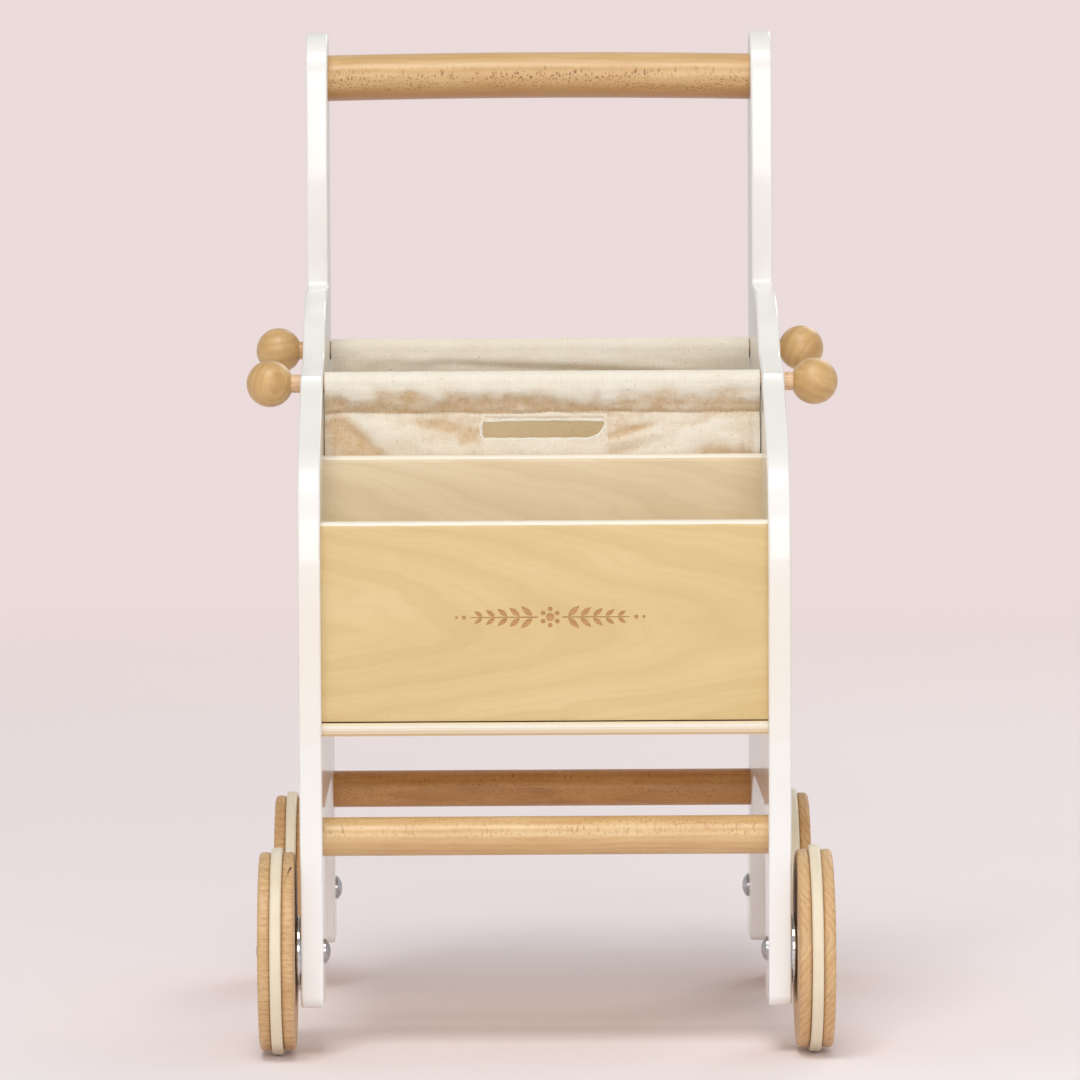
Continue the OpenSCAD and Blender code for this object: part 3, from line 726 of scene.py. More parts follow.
def handle(mat):
    R, n, m = 12.8, 72, 60
    verts, faces = [], []
    xs = np.linspace(-IN_X + 0.02, IN_X - 0.02, m)
    for x in xs:
        bow = 1.25 * (1 - (x / IN_X) ** 2) - 0.35
        for i in range(n):
            a = 2 * math.pi * i / n
            verts.append((x / 1000, (ARM_Y - Y0 + R * math.cos(a)) / 1000, (HANDLE_Z + bow + R * math.sin(a)) / 1000))
    for k in range(m - 1):
        for i in range(n):
            j = (i + 1) % n
            faces.append((k * n + i, k * n + j, (k + 1) * n + j, (k + 1) * n + i))
    for k in (0, m - 1):
        faces.append(tuple(k * n + i for i in range(n)))
    ob = new_object("handle_grip_bar", verts, faces, mat)
    outward(ob)
    sharp_edges(ob.data, 40)
    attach(ob, "frame")
    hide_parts("handle_bar")
    return ob


M_HANDLE = beech("beech_handle", r=(0, 0.25, 0.97), offset=(17, 5, -517.5), light=(221, 185, 132), mid=(208, 166, 108),
                 dark=(184, 136, 80), fleck=(142, 88, 38), pith=(60, 14), period=3.6, ring=0.30, flecks=0.92, fine=0.15, rough=0.36, coat=0.40,
                 zone_at=(95.5, 516.0, math.pi / 2, 12.8, 0.34, 0.66), under_shade=0.75, coat_rough=0.30, bump=0.09)
handle_bar = handle(M_HANDLE)
give(["front_cross_dowel"], beech("beech_front_dowel", r=(0, 0.45, 0.9), offset=(90, 137, -115), light=(226, 195, 145), mid=(216, 177, 122),
                                  dark=(192, 146, 90), pith=(45, 30), period=3.2, ring=0.38, flecks=0.5, fine=0.25, rough=0.36, coat=0.25,
                                  zone_at=(-137.5, 121.0, math.pi / 2, 10.3, 0.25, 0.7), under_shade=0.15))
# the rear dowel is given darker, redder colours than the front dowel, standing in for the shelf's shadow on it: painted
# shade
give(["rear_cross_dowel"], beech("beech_rear_dowel", r=(0, 0.8, 0.6), offset=(-40, -105, -115), light=(206, 156, 98), mid=(194, 140, 82),
                                 dark=(164, 108, 58), fleck=(118, 68, 32), pith=(50, -20), period=3.4, ring=0.4, flecks=0.6, fine=0.5, rough=0.4, coat=0.2))

# ------------------------------------------------------------------ boards

M_FRONT = ply("birch_front", 1, (10 - Y0), 8.0, (222, 197, 145), (217, 189, 133), (206, 175, 118), seed=2.0, figure=(-90.0, 232.0), contrast=1.0)
M_DIVID = ply("birch_divider", 1, (86 - Y0), 8.0, (241, 223, 188), (236, 215, 176), (220, 195, 154), seed=11.0, figure=(-160.0, 262.0), contrast=0.9)
# the shelf's plies run from a dark bottom ply to a cream top; the bright second ply from the top copies the highlight
# on the rounded front edge: painted highlight
M_SHELF = ply("birch_shelf", 2, 171.0, 7.0, (232, 210, 170), (226, 201, 158), (214, 184, 138), seed=5.0, figure=(-30.0, 0.0), contrast=0.9,
              stacks=[(0.0, None), (0.03, (198, 168, 130)), (0.16, (222, 200, 168)), (0.40, (235, 221, 198)), (0.56, (241, 233, 219)), (0.82, (240, 227, 192)), (0.96, None)], gap_shade=True)
give(["front_board"], M_FRONT)
give(["pocket_divider"], M_DIVID)
give(["base_shelf"], M_SHELF)


def soft_edge(node, width, segments=3, angle=40):
    o = nodes[node]
    w = o.modifiers.new("weld", "WELD")
    w.merge_threshold = 1e-6
    b = o.modifiers.new("edge", "BEVEL")
    b.width = width / 1000
    b.segments = segments
    b.limit_method = "ANGLE"
    b.angle_limit = math.radians(angle)
    b.harden_normals = False
    n = o.modifiers.new("normals", "WEIGHTED_NORMAL")
    n.keep_sharp = True
    n.weight = 100


soft_edge("base_shelf", 0.9)

# ------------------------------------------------------------------ woods of rods, knobs and wheels

give(["front_rod"], beech("beech_front_rod", r=(0, 0.7, 0.7), offset=(31, 60, -350), light=(238, 208, 172), mid=(228, 190, 148), dark=(206, 160, 114), period=2.4))
give(["rear_rod"], beech("beech_rear_rod", r=(0, 0.3, 0.95), offset=(8, -100, -364), light=(226, 192, 146), mid=(214, 174, 124), dark=(190, 146, 96), period=2.4))
KNOB = dict(light=(216, 178, 119), mid=(200, 159, 98), dark=(170, 122, 64), fleck=(148, 98, 48), flecks=0.18, fine=0.25, rough=0.38, coat=0.62, ring=0.38, bump=0.05, coat_rough=0.44)
give(["front_knob_left"], beech("knob_fl", l=(0.25, 0.2, 0.95), r=(0.3, 0.9, -0.2), offset=(147, 64, -353), pith=(16, 11), period=4.2, **KNOB))
give(["front_knob_right"], beech("knob_fr", l=(0.9, 0.1, -0.4), r=(0.2, 0.6, 0.75), offset=(-147, 64, -353), pith=(24, 8), period=4.8, **KNOB))
give(["rear_knob_left"], beech("knob_rl", l=(0.95, 0.1, 0.15), r=(0.05, 0.5, 0.86), offset=(147, -99, -364), pith=(20, 6), period=4.4, **KNOB))
give(["rear_knob_right"], beech("knob_rr", l=(0.55, 0.3, 0.8), r=(0.85, 0.1, -0.5), offset=(-147, -99, -364), pith=(19, -5), period=5.2, **KNOB))

def wheel_wood(name, side, seed, light, mid, dark, crack=None):
    """Turned wheel wood: on the left the end grain shows as fine level lines, on the right growth rings run slanting."""
    g = G(name)
    p = g.mm((seed * 13.7, seed * 5.1, seed * 3.3))
    x, y, z = g.sep(p)
    wob = g.sub(g.noise(g.v("MULTIPLY", p, (0.10, 0.05, 0.05)), 1, 3, 0.55), 0.5)
    if side == "left":
        lines = g.add(z, g.add(g.mul(wob, 1.2), g.mul(x, 0.03)))
        across = x
    else:
        z0 = g.sub(z, seed * 3.3 + 66.0)
        vee = g.m("SQRT", g.add(g.mul(z0, z0), 30.0))
        lines = g.add(g.mul(vee, 0.60), g.add(g.mul(x, 0.80), g.mul(wob, 3.0)))
        across = g.sub(g.mul(x, 0.60), g.mul(vee, 0.80))
    fine = g.noise(g.xyz(g.mul(across, 0.16), g.mul(y, 0.10), g.mul(lines, 2.3)), 1, 3, 0.6)
    dash, dcol = g.voronoi(g.xyz(g.mul(across, 0.30), g.mul(y, 0.25), g.mul(lines, 2.0)))
    dash = g.mul(g.m("SUBTRACT", 1.0, g.step(dash, 0.16, 0.36)), g.step(g.sep(dcol)[0], 0.35, 0.5))
    rings = g.m("FRACT", g.m("DIVIDE", g.add(lines, g.mul(wob, 3.0)), 3.4 if side == "left" else 2.9))
    rings = g.mapr(rings, 0.3, 0.95, 0.0, 1.0, "SMOOTHSTEP")
    blotch = g.noise(g.v("MULTIPLY", p, (0.09, 0.06, 0.06)), 1, 3, 0.55)
    pores = g.noise(g.v("MULTIPLY", p, (2.2, 2.2, 3.4)), 1, 2, 0.6)
    base = g.mix(g.mapr(blotch, 0.3, 0.7), lin(*light), lin(*mid))
    base = g.mix(g.mul(rings, 0.20 if side == "left" else 0.26), base, lin(*dark))
    base = g.mix(g.mul(g.step(fine, 0.48, 0.68), 0.55 if side == "left" else 0.40), base, lin(*dark))
    base = g.mix(g.mul(dash, 0.50 if side == "left" else 0.34), base, lin(*[int(c * 0.80) for c in dark]))
    base = g.shade(base, pores, 0.93, 1.07)
    height = g.sub(g.mul(pores, 0.4), g.add(g.mul(fine, 0.6), g.mul(dash, 0.5)))
    if crack:
        a, b, w = crack
        a, b = Vector(a), Vector(b)
        ab = b - a
        raw = g.mm()
        rel = g.v("SUBTRACT", raw, tuple(a))
        h = g.m("DIVIDE", g.v("DOT_PRODUCT", rel, tuple(ab)), ab.length_squared, clamp=True)
        wobble = g.mul(g.sub(g.noise(raw, 1.1, 2), 0.5), 1.3)
        dd = g.add(g.v("LENGTH", g.v("SUBTRACT", rel, g.v("SCALE", tuple(ab), scale=h))), wobble)
        width = g.mapr(h, 0.0, 1.0, w * 1.25, w * 0.35)
        gap = g.m("SUBTRACT", 1.0, g.step(dd, g.mul(width, 0.5), width))
        base = g.mix(g.mul(gap, 0.88), base, lin(66, 38, 20))
        height = g.sub(height, g.mul(gap, 4.0))
    g.set(Base_Color=base, Roughness=g.mapr(fine, 0.25, 0.75, 0.42, 0.56), Coat_Weight=0.10, Coat_Roughness=0.3)
    g.set(Normal=g.bump(height, 0.05))
    g.bsdf.inputs["Specular IOR Level"].default_value = 0.35
    return g.mat


W_FRONT = dict(light=(221, 186, 140), mid=(209, 170, 120), dark=(168, 122, 72))
W_REAR = dict(light=(212, 171, 120), mid=(201, 155, 102), dark=(158, 110, 62))
seed = 0
for side in ("left", "right"):
    for end, kw in (("front", W_FRONT), ("rear", W_REAR)):
        for which in ("outer", "inner"):
            seed += 1
            crack = ((-134.7, -165.4, 102.6), (-137.6, -175.2, 96.2), 0.62) if (side, end, which) == ("left", "front", "inner") else None
            give([f"{end}_{side}_{which}_disc"], wheel_wood(f"wheel_{end}_{side}_{which}", side, seed, crack=crack, **kw))
M_RUBBER = rubber("cream_rubber")
give([f"{e}_{s}_ring" for e in ("front", "rear") for s in ("left", "right")], M_RUBBER)
give([f"{e}_{s}_bush" for e in ("front", "rear") for s in ("left", "right")], brass("brass_bush"))
give(["hub_washers"], steel("bright_steel", (222, 223, 227), 0.10, centre=(0, 142.5, 55.0)))
give(["axle_sleeves", "axle_bolts"], steel("bolt_steel", (200, 201, 206), 0.22, centre=(0, 142.5, 55.0)))
give(["handle_screws", "cross_dowel_screws", "shelf_screws", "front_board_screws", "divider_screws"], steel("screw_steel", (186, 187, 190), 0.28))

# ------------------------------------------------------------------ engraved sprig on the front board

def sprig_cutter(mat):
    """A plain leaf sprig: a stem, pairs of leaves that get smaller, and dots. Cut 0.35 mm deep."""
    cx, cz, y = 3.0, 233.5, 10 - Y0
    shapes = []

    def leaf(x, z, length, width, ang, n=14):
        pts = []
        for i in range(n + 1):
            t = i / n
            w = width / 2 * math.sin(math.pi * t ** 0.85)
            pts.append((t * length, w))
        for i in range(n - 1, 0, -1):
            t = i / n
            w = width / 2 * math.sin(math.pi * t ** 0.85)
            pts.append((t * length, -w))
        ca, sa = math.cos(ang), math.sin(ang)
        shapes.append([(x + px * ca - pz * sa, z + px * sa + pz * ca) for px, pz in pts])

    def dot(x, z, r, n=24):
        shapes.append([(x + r * math.cos(2 * math.pi * i / n), z + r * math.sin(2 * math.pi * i / n)) for i in range(n)])

    for s in (-1, 1):
        shapes.append([(cx + s * 6.5, cz - 0.35), (cx + s * 42, cz - 0.22), (cx + s * 42, cz + 0.22), (cx + s * 6.5, cz + 0.35)][:: s])
        for k in range(5):
            x = 9.5 + 6.6 * k
            ln = 8.0 - 0.75 * k
            for up in (-1, 1):
                a = math.radians(42 - 2 * k) * up
                if s < 0:
                    a = math.pi - a
                leaf(cx + s * x, cz + up * 0.55, ln, 3.0 - 0.22 * k, a)
        dot(cx + s * 45.5, cz, 1.1)
        dot(cx + s * 49.5, cz, 0.75)
    dot(cx, cz, 2.2)
    for k in range(6):
        a = math.pi / 6 + k * math.pi / 3
        dot(cx + 4.3 * math.cos(a), cz + 4.3 * math.sin(a), 1.25, 18)
    verts, faces = [], []
    for sh in shapes:
        area = sum(sh[i][0] * sh[(i + 1) % len(sh)][1] - sh[(i + 1) % len(sh)][0] * sh[i][1] for i in range(len(sh)))
        if area < 0:
            sh = sh[::-1]
        n, i0 = len(sh), len(verts)
        for yy in (y - 0.6, y + 0.35):
            verts += [(px / 1000, yy / 1000, pz / 1000) for px, pz in sh]
        faces.append(tuple(i0 + i for i in range(n)))
        faces.append(tuple(i0 + n + i for i in reversed(range(n))))
        for i in range(n):
            j = (i + 1) % n
            faces.append((i0 + j, i0 + i, i0 + n + i, i0 + n + j))
    ob = new_object("sprig_cutter", verts, faces, mat, smooth=False)
    outward(ob)
    ob.hide_render = True
    ob.hide_viewport = False
    ob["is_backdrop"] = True
    return ob


M_BURNT = burnt("burnt_wood")
cutter = sprig_cutter(M_BURNT)
fb = nodes["front_board"]
fb.data.materials.append(M_BURNT)
w = fb.modifiers.new("weld", "WELD")
w.merge_threshold = 1e-6
bo = fb.modifiers.new("engraving", "BOOLEAN")
bo.operation = "DIFFERENCE"
bo.solver = "EXACT"
bo.object = cutter
bo.material_mode = "TRANSFER"
bo.use_self = False

# ------------------------------------------------------------------ the canvas bag

ROD_F, ROD_R = (102.0, 353.3), (266.0, 364.3)
BAG_X = 117.65
CLOTH = 1.0
R_HEM = 5.0 + 0.25 + CLOTH / 2
STITCH_F, STITCH_R = 337.2, 348.2


def resample(path, step):
    """Points along a polyline, spaced by step(s) mm."""
    path = np.array(path, float)
    seg = np.linalg.norm(np.diff(path, axis=0), axis=1)
    s = np.concatenate([[0], np.cumsum(seg)])
    pos, out = 0.0, [0.0]
    while pos < s[-1] - 1e-9:
        pos = min(pos + step(pos), s[-1])
        out.append(pos)
    out = np.array(out)
    return np.stack([np.interp(out, s, path[:, 0]), np.interp(out, s, path[:, 1])], 1), out


def noise1(x, wave, seed, octaves=2):
    """Smooth value noise of x in -1..1."""
    out = np.zeros_like(x, float)
    amp, tot = 1.0, 0.0
    for o in range(octaves):
        rg = np.random.default_rng(seed * 131 + o)
        vals = rg.uniform(-1, 1, 4096)
        q = x / wave * 2 ** o + 1000.37 * (o + 1)
        i = np.floor(q).astype(int)
        f = q - i
        f = f * f * (3 - 2 * f)
        out += amp * (vals[i % 4096] * (1 - f) + vals[(i + 1) % 4096] * f)
        tot += amp
        amp *= 0.5
    return out / tot


def noise2(x, y, wx, wy, seed, octaves=3):
    """Smooth value noise of two coordinates in about -1..1."""
    out = np.zeros(np.broadcast(x, y).shape)
    amp, tot = 1.0, 0.0
    for o in range(octaves):
        rg = np.random.default_rng(seed * 977 + o)
        vals = rg.uniform(-1, 1, (257, 257))
        qx, qy = x / wx * 2 ** o + 77.3 * (o + 1), y / wy * 2 ** o + 31.9 * (o + 1)
        ix, iy = np.floor(qx).astype(int), np.floor(qy).astype(int)
        fx, fy = qx - ix, qy - iy
        fx, fy = fx * fx * (3 - 2 * fx), fy * fy * (3 - 2 * fy)
        a = vals[ix % 257, iy % 257] * (1 - fx) + vals[(ix + 1) % 257, iy % 257] * fx
        b = vals[ix % 257, (iy + 1) % 257] * (1 - fx) + vals[(ix + 1) % 257, (iy + 1) % 257] * fx
        out += amp * (a * (1 - fy) + b * fy)
        tot += amp
        amp *= 0.5
    return out / tot


def ridge(U, Z, a, b, width, amp, taper=0.5):
    """A fold along the line a-b: a smooth ridge (or valley where amp < 0) that fades at its ends."""
    a, b = np.array(a, float), np.array(b, float)
    ab = b - a
    L2 = ab @ ab
    t = ((U - a[0]) * ab[0] + (Z - a[1]) * ab[1]) / L2
    tc = np.clip(t, 0, 1)
    dx, dz = U - (a[0] + tc * ab[0]), Z - (a[1] + tc * ab[1])
    d = np.sqrt(dx * dx + dz * dz)
    along = np.sin(np.pi * np.clip(0.06 + 0.88 * tc, 0, 1)) ** taper
    return amp * np.exp(-(d / width) ** 2) * along


def strip_path():
    """Side view of the bag's strip, from the front hem's inner end to the rear hem's inner end."""
    p = []
    y, z = ROD_F
    p += [(102.9, STITCH_F - 1.0), (103.3, STITCH_F + 2.5)]
    p += bez((103.3, STITCH_F + 2.5), (104.4, STITCH_F + 7), (y + R_HEM, z - 6.5), (y + R_HEM, z - 1), 14)
    p += arc((y, z), R_HEM, -8, 188, 40)
    p += bez((y - R_HEM, z - 1.5), (y - R_HEM - 0.1, z - 6.5), (100.1, STITCH_F + 6), (101.2, STITCH_F), 24)
    p += bez((101.2, STITCH_F), (100.2, STITCH_F - 5), (97.6, STITCH_F - 13), (97.0, STITCH_F - 26), 22)
    p += bez((97.0, STITCH_F - 26), (96.5, 290), (96.6, 240), (96.9, 190), 50)
    p += bez((96.9, 190), (97.0, 182), (98.6, 179.0), (106, 178.85), 14)
    p += bez((106, 178.85), (150, 178.75), (220, 178.75), (262, 178.85), 60)
    p += bez((262, 178.85), (269.6, 179.0), (271.2, 182), (271.3, 190), 14)
    y2, z2 = ROD_R
    p += bez((271.3, 190), (271.7, 240), (271.9, 295), (271.2, STITCH_R - 26), 50)
    p += bez((271.2, STITCH_R - 26), (270.0, STITCH_R - 13), (266.2, STITCH_R - 5), (264.6, STITCH_R), 22)
    p += bez((264.6, STITCH_R), (266.6, STITCH_R + 6), (y2 + R_HEM + 0.1, z2 - 6.5), (y2 + R_HEM, z2 - 1.5), 24)
    p += arc((y2, z2), R_HEM, -8, 188, 40)
    p += bez((y2 - R_HEM, z2 - 1), (y2 - R_HEM, z2 - 6.5), (261.3, STITCH_R + 7), (262.3, STITCH_R + 2.5), 14)
    p += [(262.3, STITCH_R + 2.5), (262.7, STITCH_R - 1.0)]
    return p


def make_strip():
    path = strip_path()
    pts = np.array(path)
    keep = [0]
    for i in range(1, len(pts)):
        if np.linalg.norm(pts[i] - pts[keep[-1]]) > 0.02:
            keep.append(i)
    pts = pts[keep]
    seg = np.linalg.norm(np.diff(pts, axis=0), axis=1)
    total = seg.sum()

    def step(s):
        near = min(s, total - s)
        return 0.9 if near < 75 else (1.5 if near < 90 else 3.2)

    c, s = resample(pts, step)
    # arc length of the places that matter
    def s_at(y, z, lo, hi):
        d = np.hypot(c[:, 0] - y, c[:, 1] - z)
        d[(s < lo) | (s > hi)] = 1e9
        return s[np.argmin(d)]

    s_sf = s_at(101.2, STITCH_F, 30, 100)
    s_sr = s_at(264.6, STITCH_R, total - 100, total - 30)
    top_f = s_at(ROD_F[0], ROD_F[1] + R_HEM, 0, 60)
    top_r = s_at(ROD_R[0], ROD_R[1] + R_HEM, total - 60, total)
    nu = 168
    u = np.linspace(-BAG_X, BAG_X, nu)
    U, S = np.meshgrid(u, s)
    Y, Z = np.repeat(c[:, :1], nu, 1), np.repeat(c[:, 1:], nu, 1)
    tang = np.gradient(c, axis=0)
    tang /= np.linalg.norm(tang, axis=1)[:, None]
    # outward: to the left of the way the path runs is the outside of the bag at the front wall
    NY, NZ = -tang[:, 1], tang[:, 0]
    mid = len(c) // 2
    if NZ[mid] > 0:  # at the floor the outside is below
        NY, NZ = -NY, -NZ
    NY, NZ = np.repeat(NY[:, None], nu, 1), np.repeat(NZ[:, None], nu, 1)
    D = np.zeros_like(U)
    fold_shade = np.zeros_like(U)

    # front hem below the rod: valleys between puffs, at uneven places
    def hem(valleys, s_stitch, s_top, sgn, seed, depth, inner=False):
        nonlocal D, fold_shade
        a = (s_stitch - S) * sgn  # mm above the stitch line on this layer
        full = abs(s_stitch - s_top)
        on = (a > -0.5) & (a < full)
        t = np.clip(a / 17.0, 0, 1)
        env = np.sin(np.pi * np.clip(t, 0, 1) ** 0.75) ** 0.9 * (a < 17) * (a > 0)
        puff = np.zeros_like(U)
        for x0, wd, am, lean in valleys:
            q = (U - x0 - lean * (t - 0.3) * 8) / wd
            puff -= am * np.exp(-q * q)
        rough = noise2(U + 0.6 * a, a, 15, 8, seed, 3) * 1.1 + noise2(U, a, 34, 12, seed + 50, 2) * 0.9
        D += on * env * (0.8 + puff * depth * 0.55 + rough)
        # the underside of the hem turns away from the light, in patches: that shade is painted into the fold shade
        low_t = np.clip((13.5 - a) / 7.5 + 0.55 * noise2(U, a, 17, 9, seed + 60, 3) + 0.35 * noise2(U, a, 46, 30, seed + 61, 2), 0, 1)
        tone = np.clip(0.62 * low_t - 0.30 * np.clip(rough, -1, 1) - 0.16 * puff, 0, 1)
        fold_shade += on * (a < 15) * tone * np.clip((15 - a) / 3, 0, 1)

    front_valleys = [(-111, 4.5, 1.5, 0.4), (-87, 4.0, 1.5, -0.3), (-73, 3.8, 1.6, 0.5), (-52.5, 4.2, 1.3, 0.2), (-44, 3.4, 1.1, -0.5),
                     (-30, 3.8, 1.5, 0.1), (-19, 4.2, 1.2, -0.2), (2, 6.0, 0.9, 0.0), (28, 3.6, 1.9, 0.8), (44.5, 4.6, 1.5, -0.6),
                     (64, 4.4, 1.5, 0.7), (72, 3.4, 1.4, -0.4), (94, 5.2, 1.4, 0.5), (106.5, 3.8, 1.6, -0.5)]
    hem(front_valleys, s_sf, top_f, 1, 3, 1.0)
    rg = np.random.default_rng(5)
    rear_valleys = [(x + rg.uniform(-3, 3), rg.uniform(3.5, 6), rg.uniform(0.7, 1.5), rg.uniform(-0.6, 0.6)) for x in np.arange(-108, 112, 15.5)]
    hem(rear_valleys, s_sr, top_r, -1, 4, 0.8)
    # the inner layer of each hem
    for s0, sgn, seed in ((0.0, 1, 6), (total, -1, 7)):
        a = np.abs(S - s0)
        env = np.sin(np.pi * np.clip(a / 19.0, 0, 1)) * (a < 19)
        D += env * (0.5 + 0.7 * noise2(U, a, 22, 11, seed, 3) + 0.35 * noise2(U, a, 80, 14, seed + 20, 2))
        if sgn < 0:
            D += env * (ridge(U, Z, (-92, 361), (104, 352), 3.4, 1.2) + ridge(U, Z, (-60, 357.5), (70, 350.5), 2.6, -1.3)
                        + ridge(U, Z, (-40, 362), (60, 359), 3.0, 0.7))

    # puckers along the stitch lines
    for s0, seed in ((s_sf, 11), (s_sr, 12)):
        d = S - s0
        k = noise1(U[0], 5.2, seed, 2) * 0.9 + noise1(U[0], 2.6, seed + 1, 1) * 0.5
        away = np.exp(-np.abs(d) / 4.5) * (1 - np.exp(-(d / 1.3) ** 2) * 0.65)
        D += k[None, :] * away * 0.62
        nip = 0.5 + 0.5 * noise1(U[0], 11, seed + 5, 2)[None, :]
        D -= (0.25 + 0.5 * nip) * np.exp(-(d / 1.3) ** 2)
        # a painted shade line in the pinch of each stitch line
        fold_shade += np.exp(-((d + (1.0 if s0 == s_sf else -1.0)) / 1.2) ** 2) * 0.45 * nip

    # front wall below the stitch line, where it shows above the divider and lower down
    df = S - s_sf
    wall_f = (df > 0) & (S < total / 2)
    zf = np.clip(df / 10, 0, 1)
    W = np.zeros_like(U)
    W += ridge(U, Z, (-112, 334), (-86, 312), 5.0, -1.9)
    W += ridge(U, Z, (-108, 322), (-96, 309), 5.5, -1.0)
    W += ridge(U, Z, (-100, 335), (-52, 316), 7.0, 1.1)
    W += ridge(U, Z, (-82, 332.5), (-36, 329.5), 3.2, -0.9)
    W += ridge(U, Z, (-46, 319), (-35, 326), 3.0, -0.9)
    W += ridge(U, Z, (-48, 331), (-35, 329.5), 2.2, 0.6)
    W += ridge(U, Z, (35.5, 331.5), (60, 335.5), 2.6, 0.9)
    W += ridge(U, Z, (35.0, 323.5), (62, 331.0), 2.0, -1.3)
    W += ridge(U, Z, (36.0, 319.5), (70, 327.0), 2.8, 0.9)
    W += ridge(U, Z, (37.0, 316.0), (58, 319.0), 2.2, -0.6)
    W += ridge(U, Z, (66, 333), (112, 327), 4.5, -0.7)
    W += ridge(U, Z, (84, 318), (113, 311), 5.0, -1.3)
    W += ridge(U, Z, (60, 312), (96, 331), 5.5, 0.8)
    W += 0.75 * noise2(U + 0.5 * Z, Z, 24, 15, 21, 3)
    D += wall_f * zf * W * np.clip((Z - 250) / 60, 0, 1)
    # painted shade in the valleys of these folds, with patches of it, more towards the right
    tone = np.clip(-W * 0.5, 0, 0.8) + np.clip(0.10 + 0.42 * noise2(U - 0.4 * Z, Z, 30, 13, 22, 3), 0, 0.5)
    tone = tone + np.clip((U - 20) / 60, 0, 1) * np.clip(0.12 + 0.4 * noise2(U - 0.6 * Z, Z, 18, 8, 23, 3), 0, 0.45)
    fold_shade += wall_f * tone * np.clip((Z - 290) / 15, 0, 1)
    # the walls' edges are sewn to the ends: a shallow groove along each seam
    gr = np.exp(-((np.abs(U) - (BAG_X - 5.0)) / 0.9) ** 2) * np.clip((STITCH_F - 1 - Z) / 4, 0, 1)
    D -= wall_f * gr * 0.55
    # painted shade in the groove and in a band beside the seam
    fold_shade += wall_f * (gr * 0.4 + 0.22 * np.exp(-((np.abs(U) - (BAG_X - 8.5)) / 3.0) ** 2) * np.clip(0.5 + noise2(U, Z, 20, 16, 25, 2), 0, 1))
    # small crumples near the stitch lines
    for s0, seed in ((s_sf, 26), (s_sr, 27)):
        near = np.exp(-(np.abs(S - s0) / 13.0) ** 2)
        cr = noise2(U + 0.4 * S, S, 7.5, 5.0, seed, 3)
        D += near * cr * 0.42
        # painted shade in the crumples' hollows
        fold_shade += near * np.clip(-cr * 0.35, -0.1, 0.3)
    # slack in both walls: broad waves and a few drawn folds, growing away from the seams
    low = np.clip((Z - 182) / 30, 0, 1) * np.clip((STITCH_F - 14 - Z) / 30, 0, 1)
    edge = np.clip((BAG_X - np.abs(U)) / 14, 0, 1)
    sag = (1.3 * noise2(U, Z, 70, 110, 31, 2) + 0.7 * noise2(U + 0.35 * Z, Z, 24, 90, 32, 2))
    D += np.where(S < total / 2, sag * low * edge * 0.8 - 0.3 * low * edge, 0)
    lowr = np.clip((Z - 182) / 30, 0, 1) * np.clip((STITCH_R - 6 - Z) / 24, 0, 1)
    sagr = (1.6 * noise2(U, Z, 64, 120, 41, 2) + 0.9 * noise2(U - 0.3 * Z, Z, 22, 80, 42, 2) + 0.5 * noise2(U, Z, 14, 30, 43, 2))
    folds_r = (ridge(U, Z, (-108, 340), (-60, 250), 8, 1.8) + ridge(U, Z, (104, 342), (52, 262), 7, 1.7)
               + ridge(U, Z, (-70, 338), (-40, 290), 5, -1.4) + ridge(U, Z, (62, 339), (36, 300), 5, -1.2)
               + ridge(U, Z, (-112, 200), (-40, 236), 7, 1.2) + ridge(U, Z, (110, 204), (40, 232), 6, 1.1))
    D += np.where(S > total / 2, (sagr * 1.15 + folds_r * 1.7 - 0.4) * lowr * edge, 0)
    # floor: lies on the shelf, so it only lifts
    floor = (Z < 181) & (Y > 104) & (Y < 264)
    lift = np.abs(noise2(U, Y, 40, 55, 51, 3)) * 1.1
    D = np.where(floor, -lift * np.clip((Y - 104) / 12, 0, 1) * np.clip((264 - Y) / 12, 0, 1), D)
    # fine crumple everywhere
    D += noise2(U, S, 7.5, 7.5, 61, 2) * 0.12
    # lateral ends draw in a little, unevenly
    X = U - np.sign(U) * (np.clip(np.abs(U) - (BAG_X - 20), 0, 20) / 20) ** 2 * (0.30 + 0.3 * noise2(S * 0 + U, S, 9999, 16, 71, 2))
    for s0, seed in ((s_sf, 91), (s_sr, 92)):
        Z = Z + (0.75 * noise1(U[0], 23, seed, 2)[None, :]) * np.exp(-((S - s0) / 9.0) ** 2)
    Yp, Zp = Y + NY * D, Z + NZ * D
    # never into the rods, the divider or the shelf
    for (ry, rz) in (ROD_F, ROD_R):
        dy, dz = Yp - ry, Zp - rz
        rr = np.hypot(dy, dz)
        k = np.where(rr < R_HEM, R_HEM / np.maximum(rr, 1e-6), 1)
        Yp, Zp = ry + dy * k, rz + dz * k
    Yp = np.where((Z < 318) & (S < total / 2), np.maximum(Yp, 94.0 + 0.35 + CLOTH / 2 + 0.15), Yp)
    Zp = np.maximum(Zp, 178.05 + CLOTH / 2)
    P = np.stack([X, Yp - Y0, Zp], -1)
    # the outer face of the rear wall and hem gets much less painted fold shade than the front's
    fold_shade = np.clip(fold_shade, 0, 0.74)
    fold_shade = np.where(S > total / 2, fold_shade * 0.16, fold_shade)
    # painted shade on the faces that look into the bag, deeper along the inner layer of the rear hem
    inner_fold_shade = 0.02 + 0.06 * np.clip(0.5 + noise2(U, S, 30, 40, 96, 2), 0, 1)
    rear_in = (S > total / 2) & (Z < STITCH_R - 1)
    inner_fold_shade = np.where(rear_in, inner_fold_shade + 0.0 * Z, inner_fold_shade)
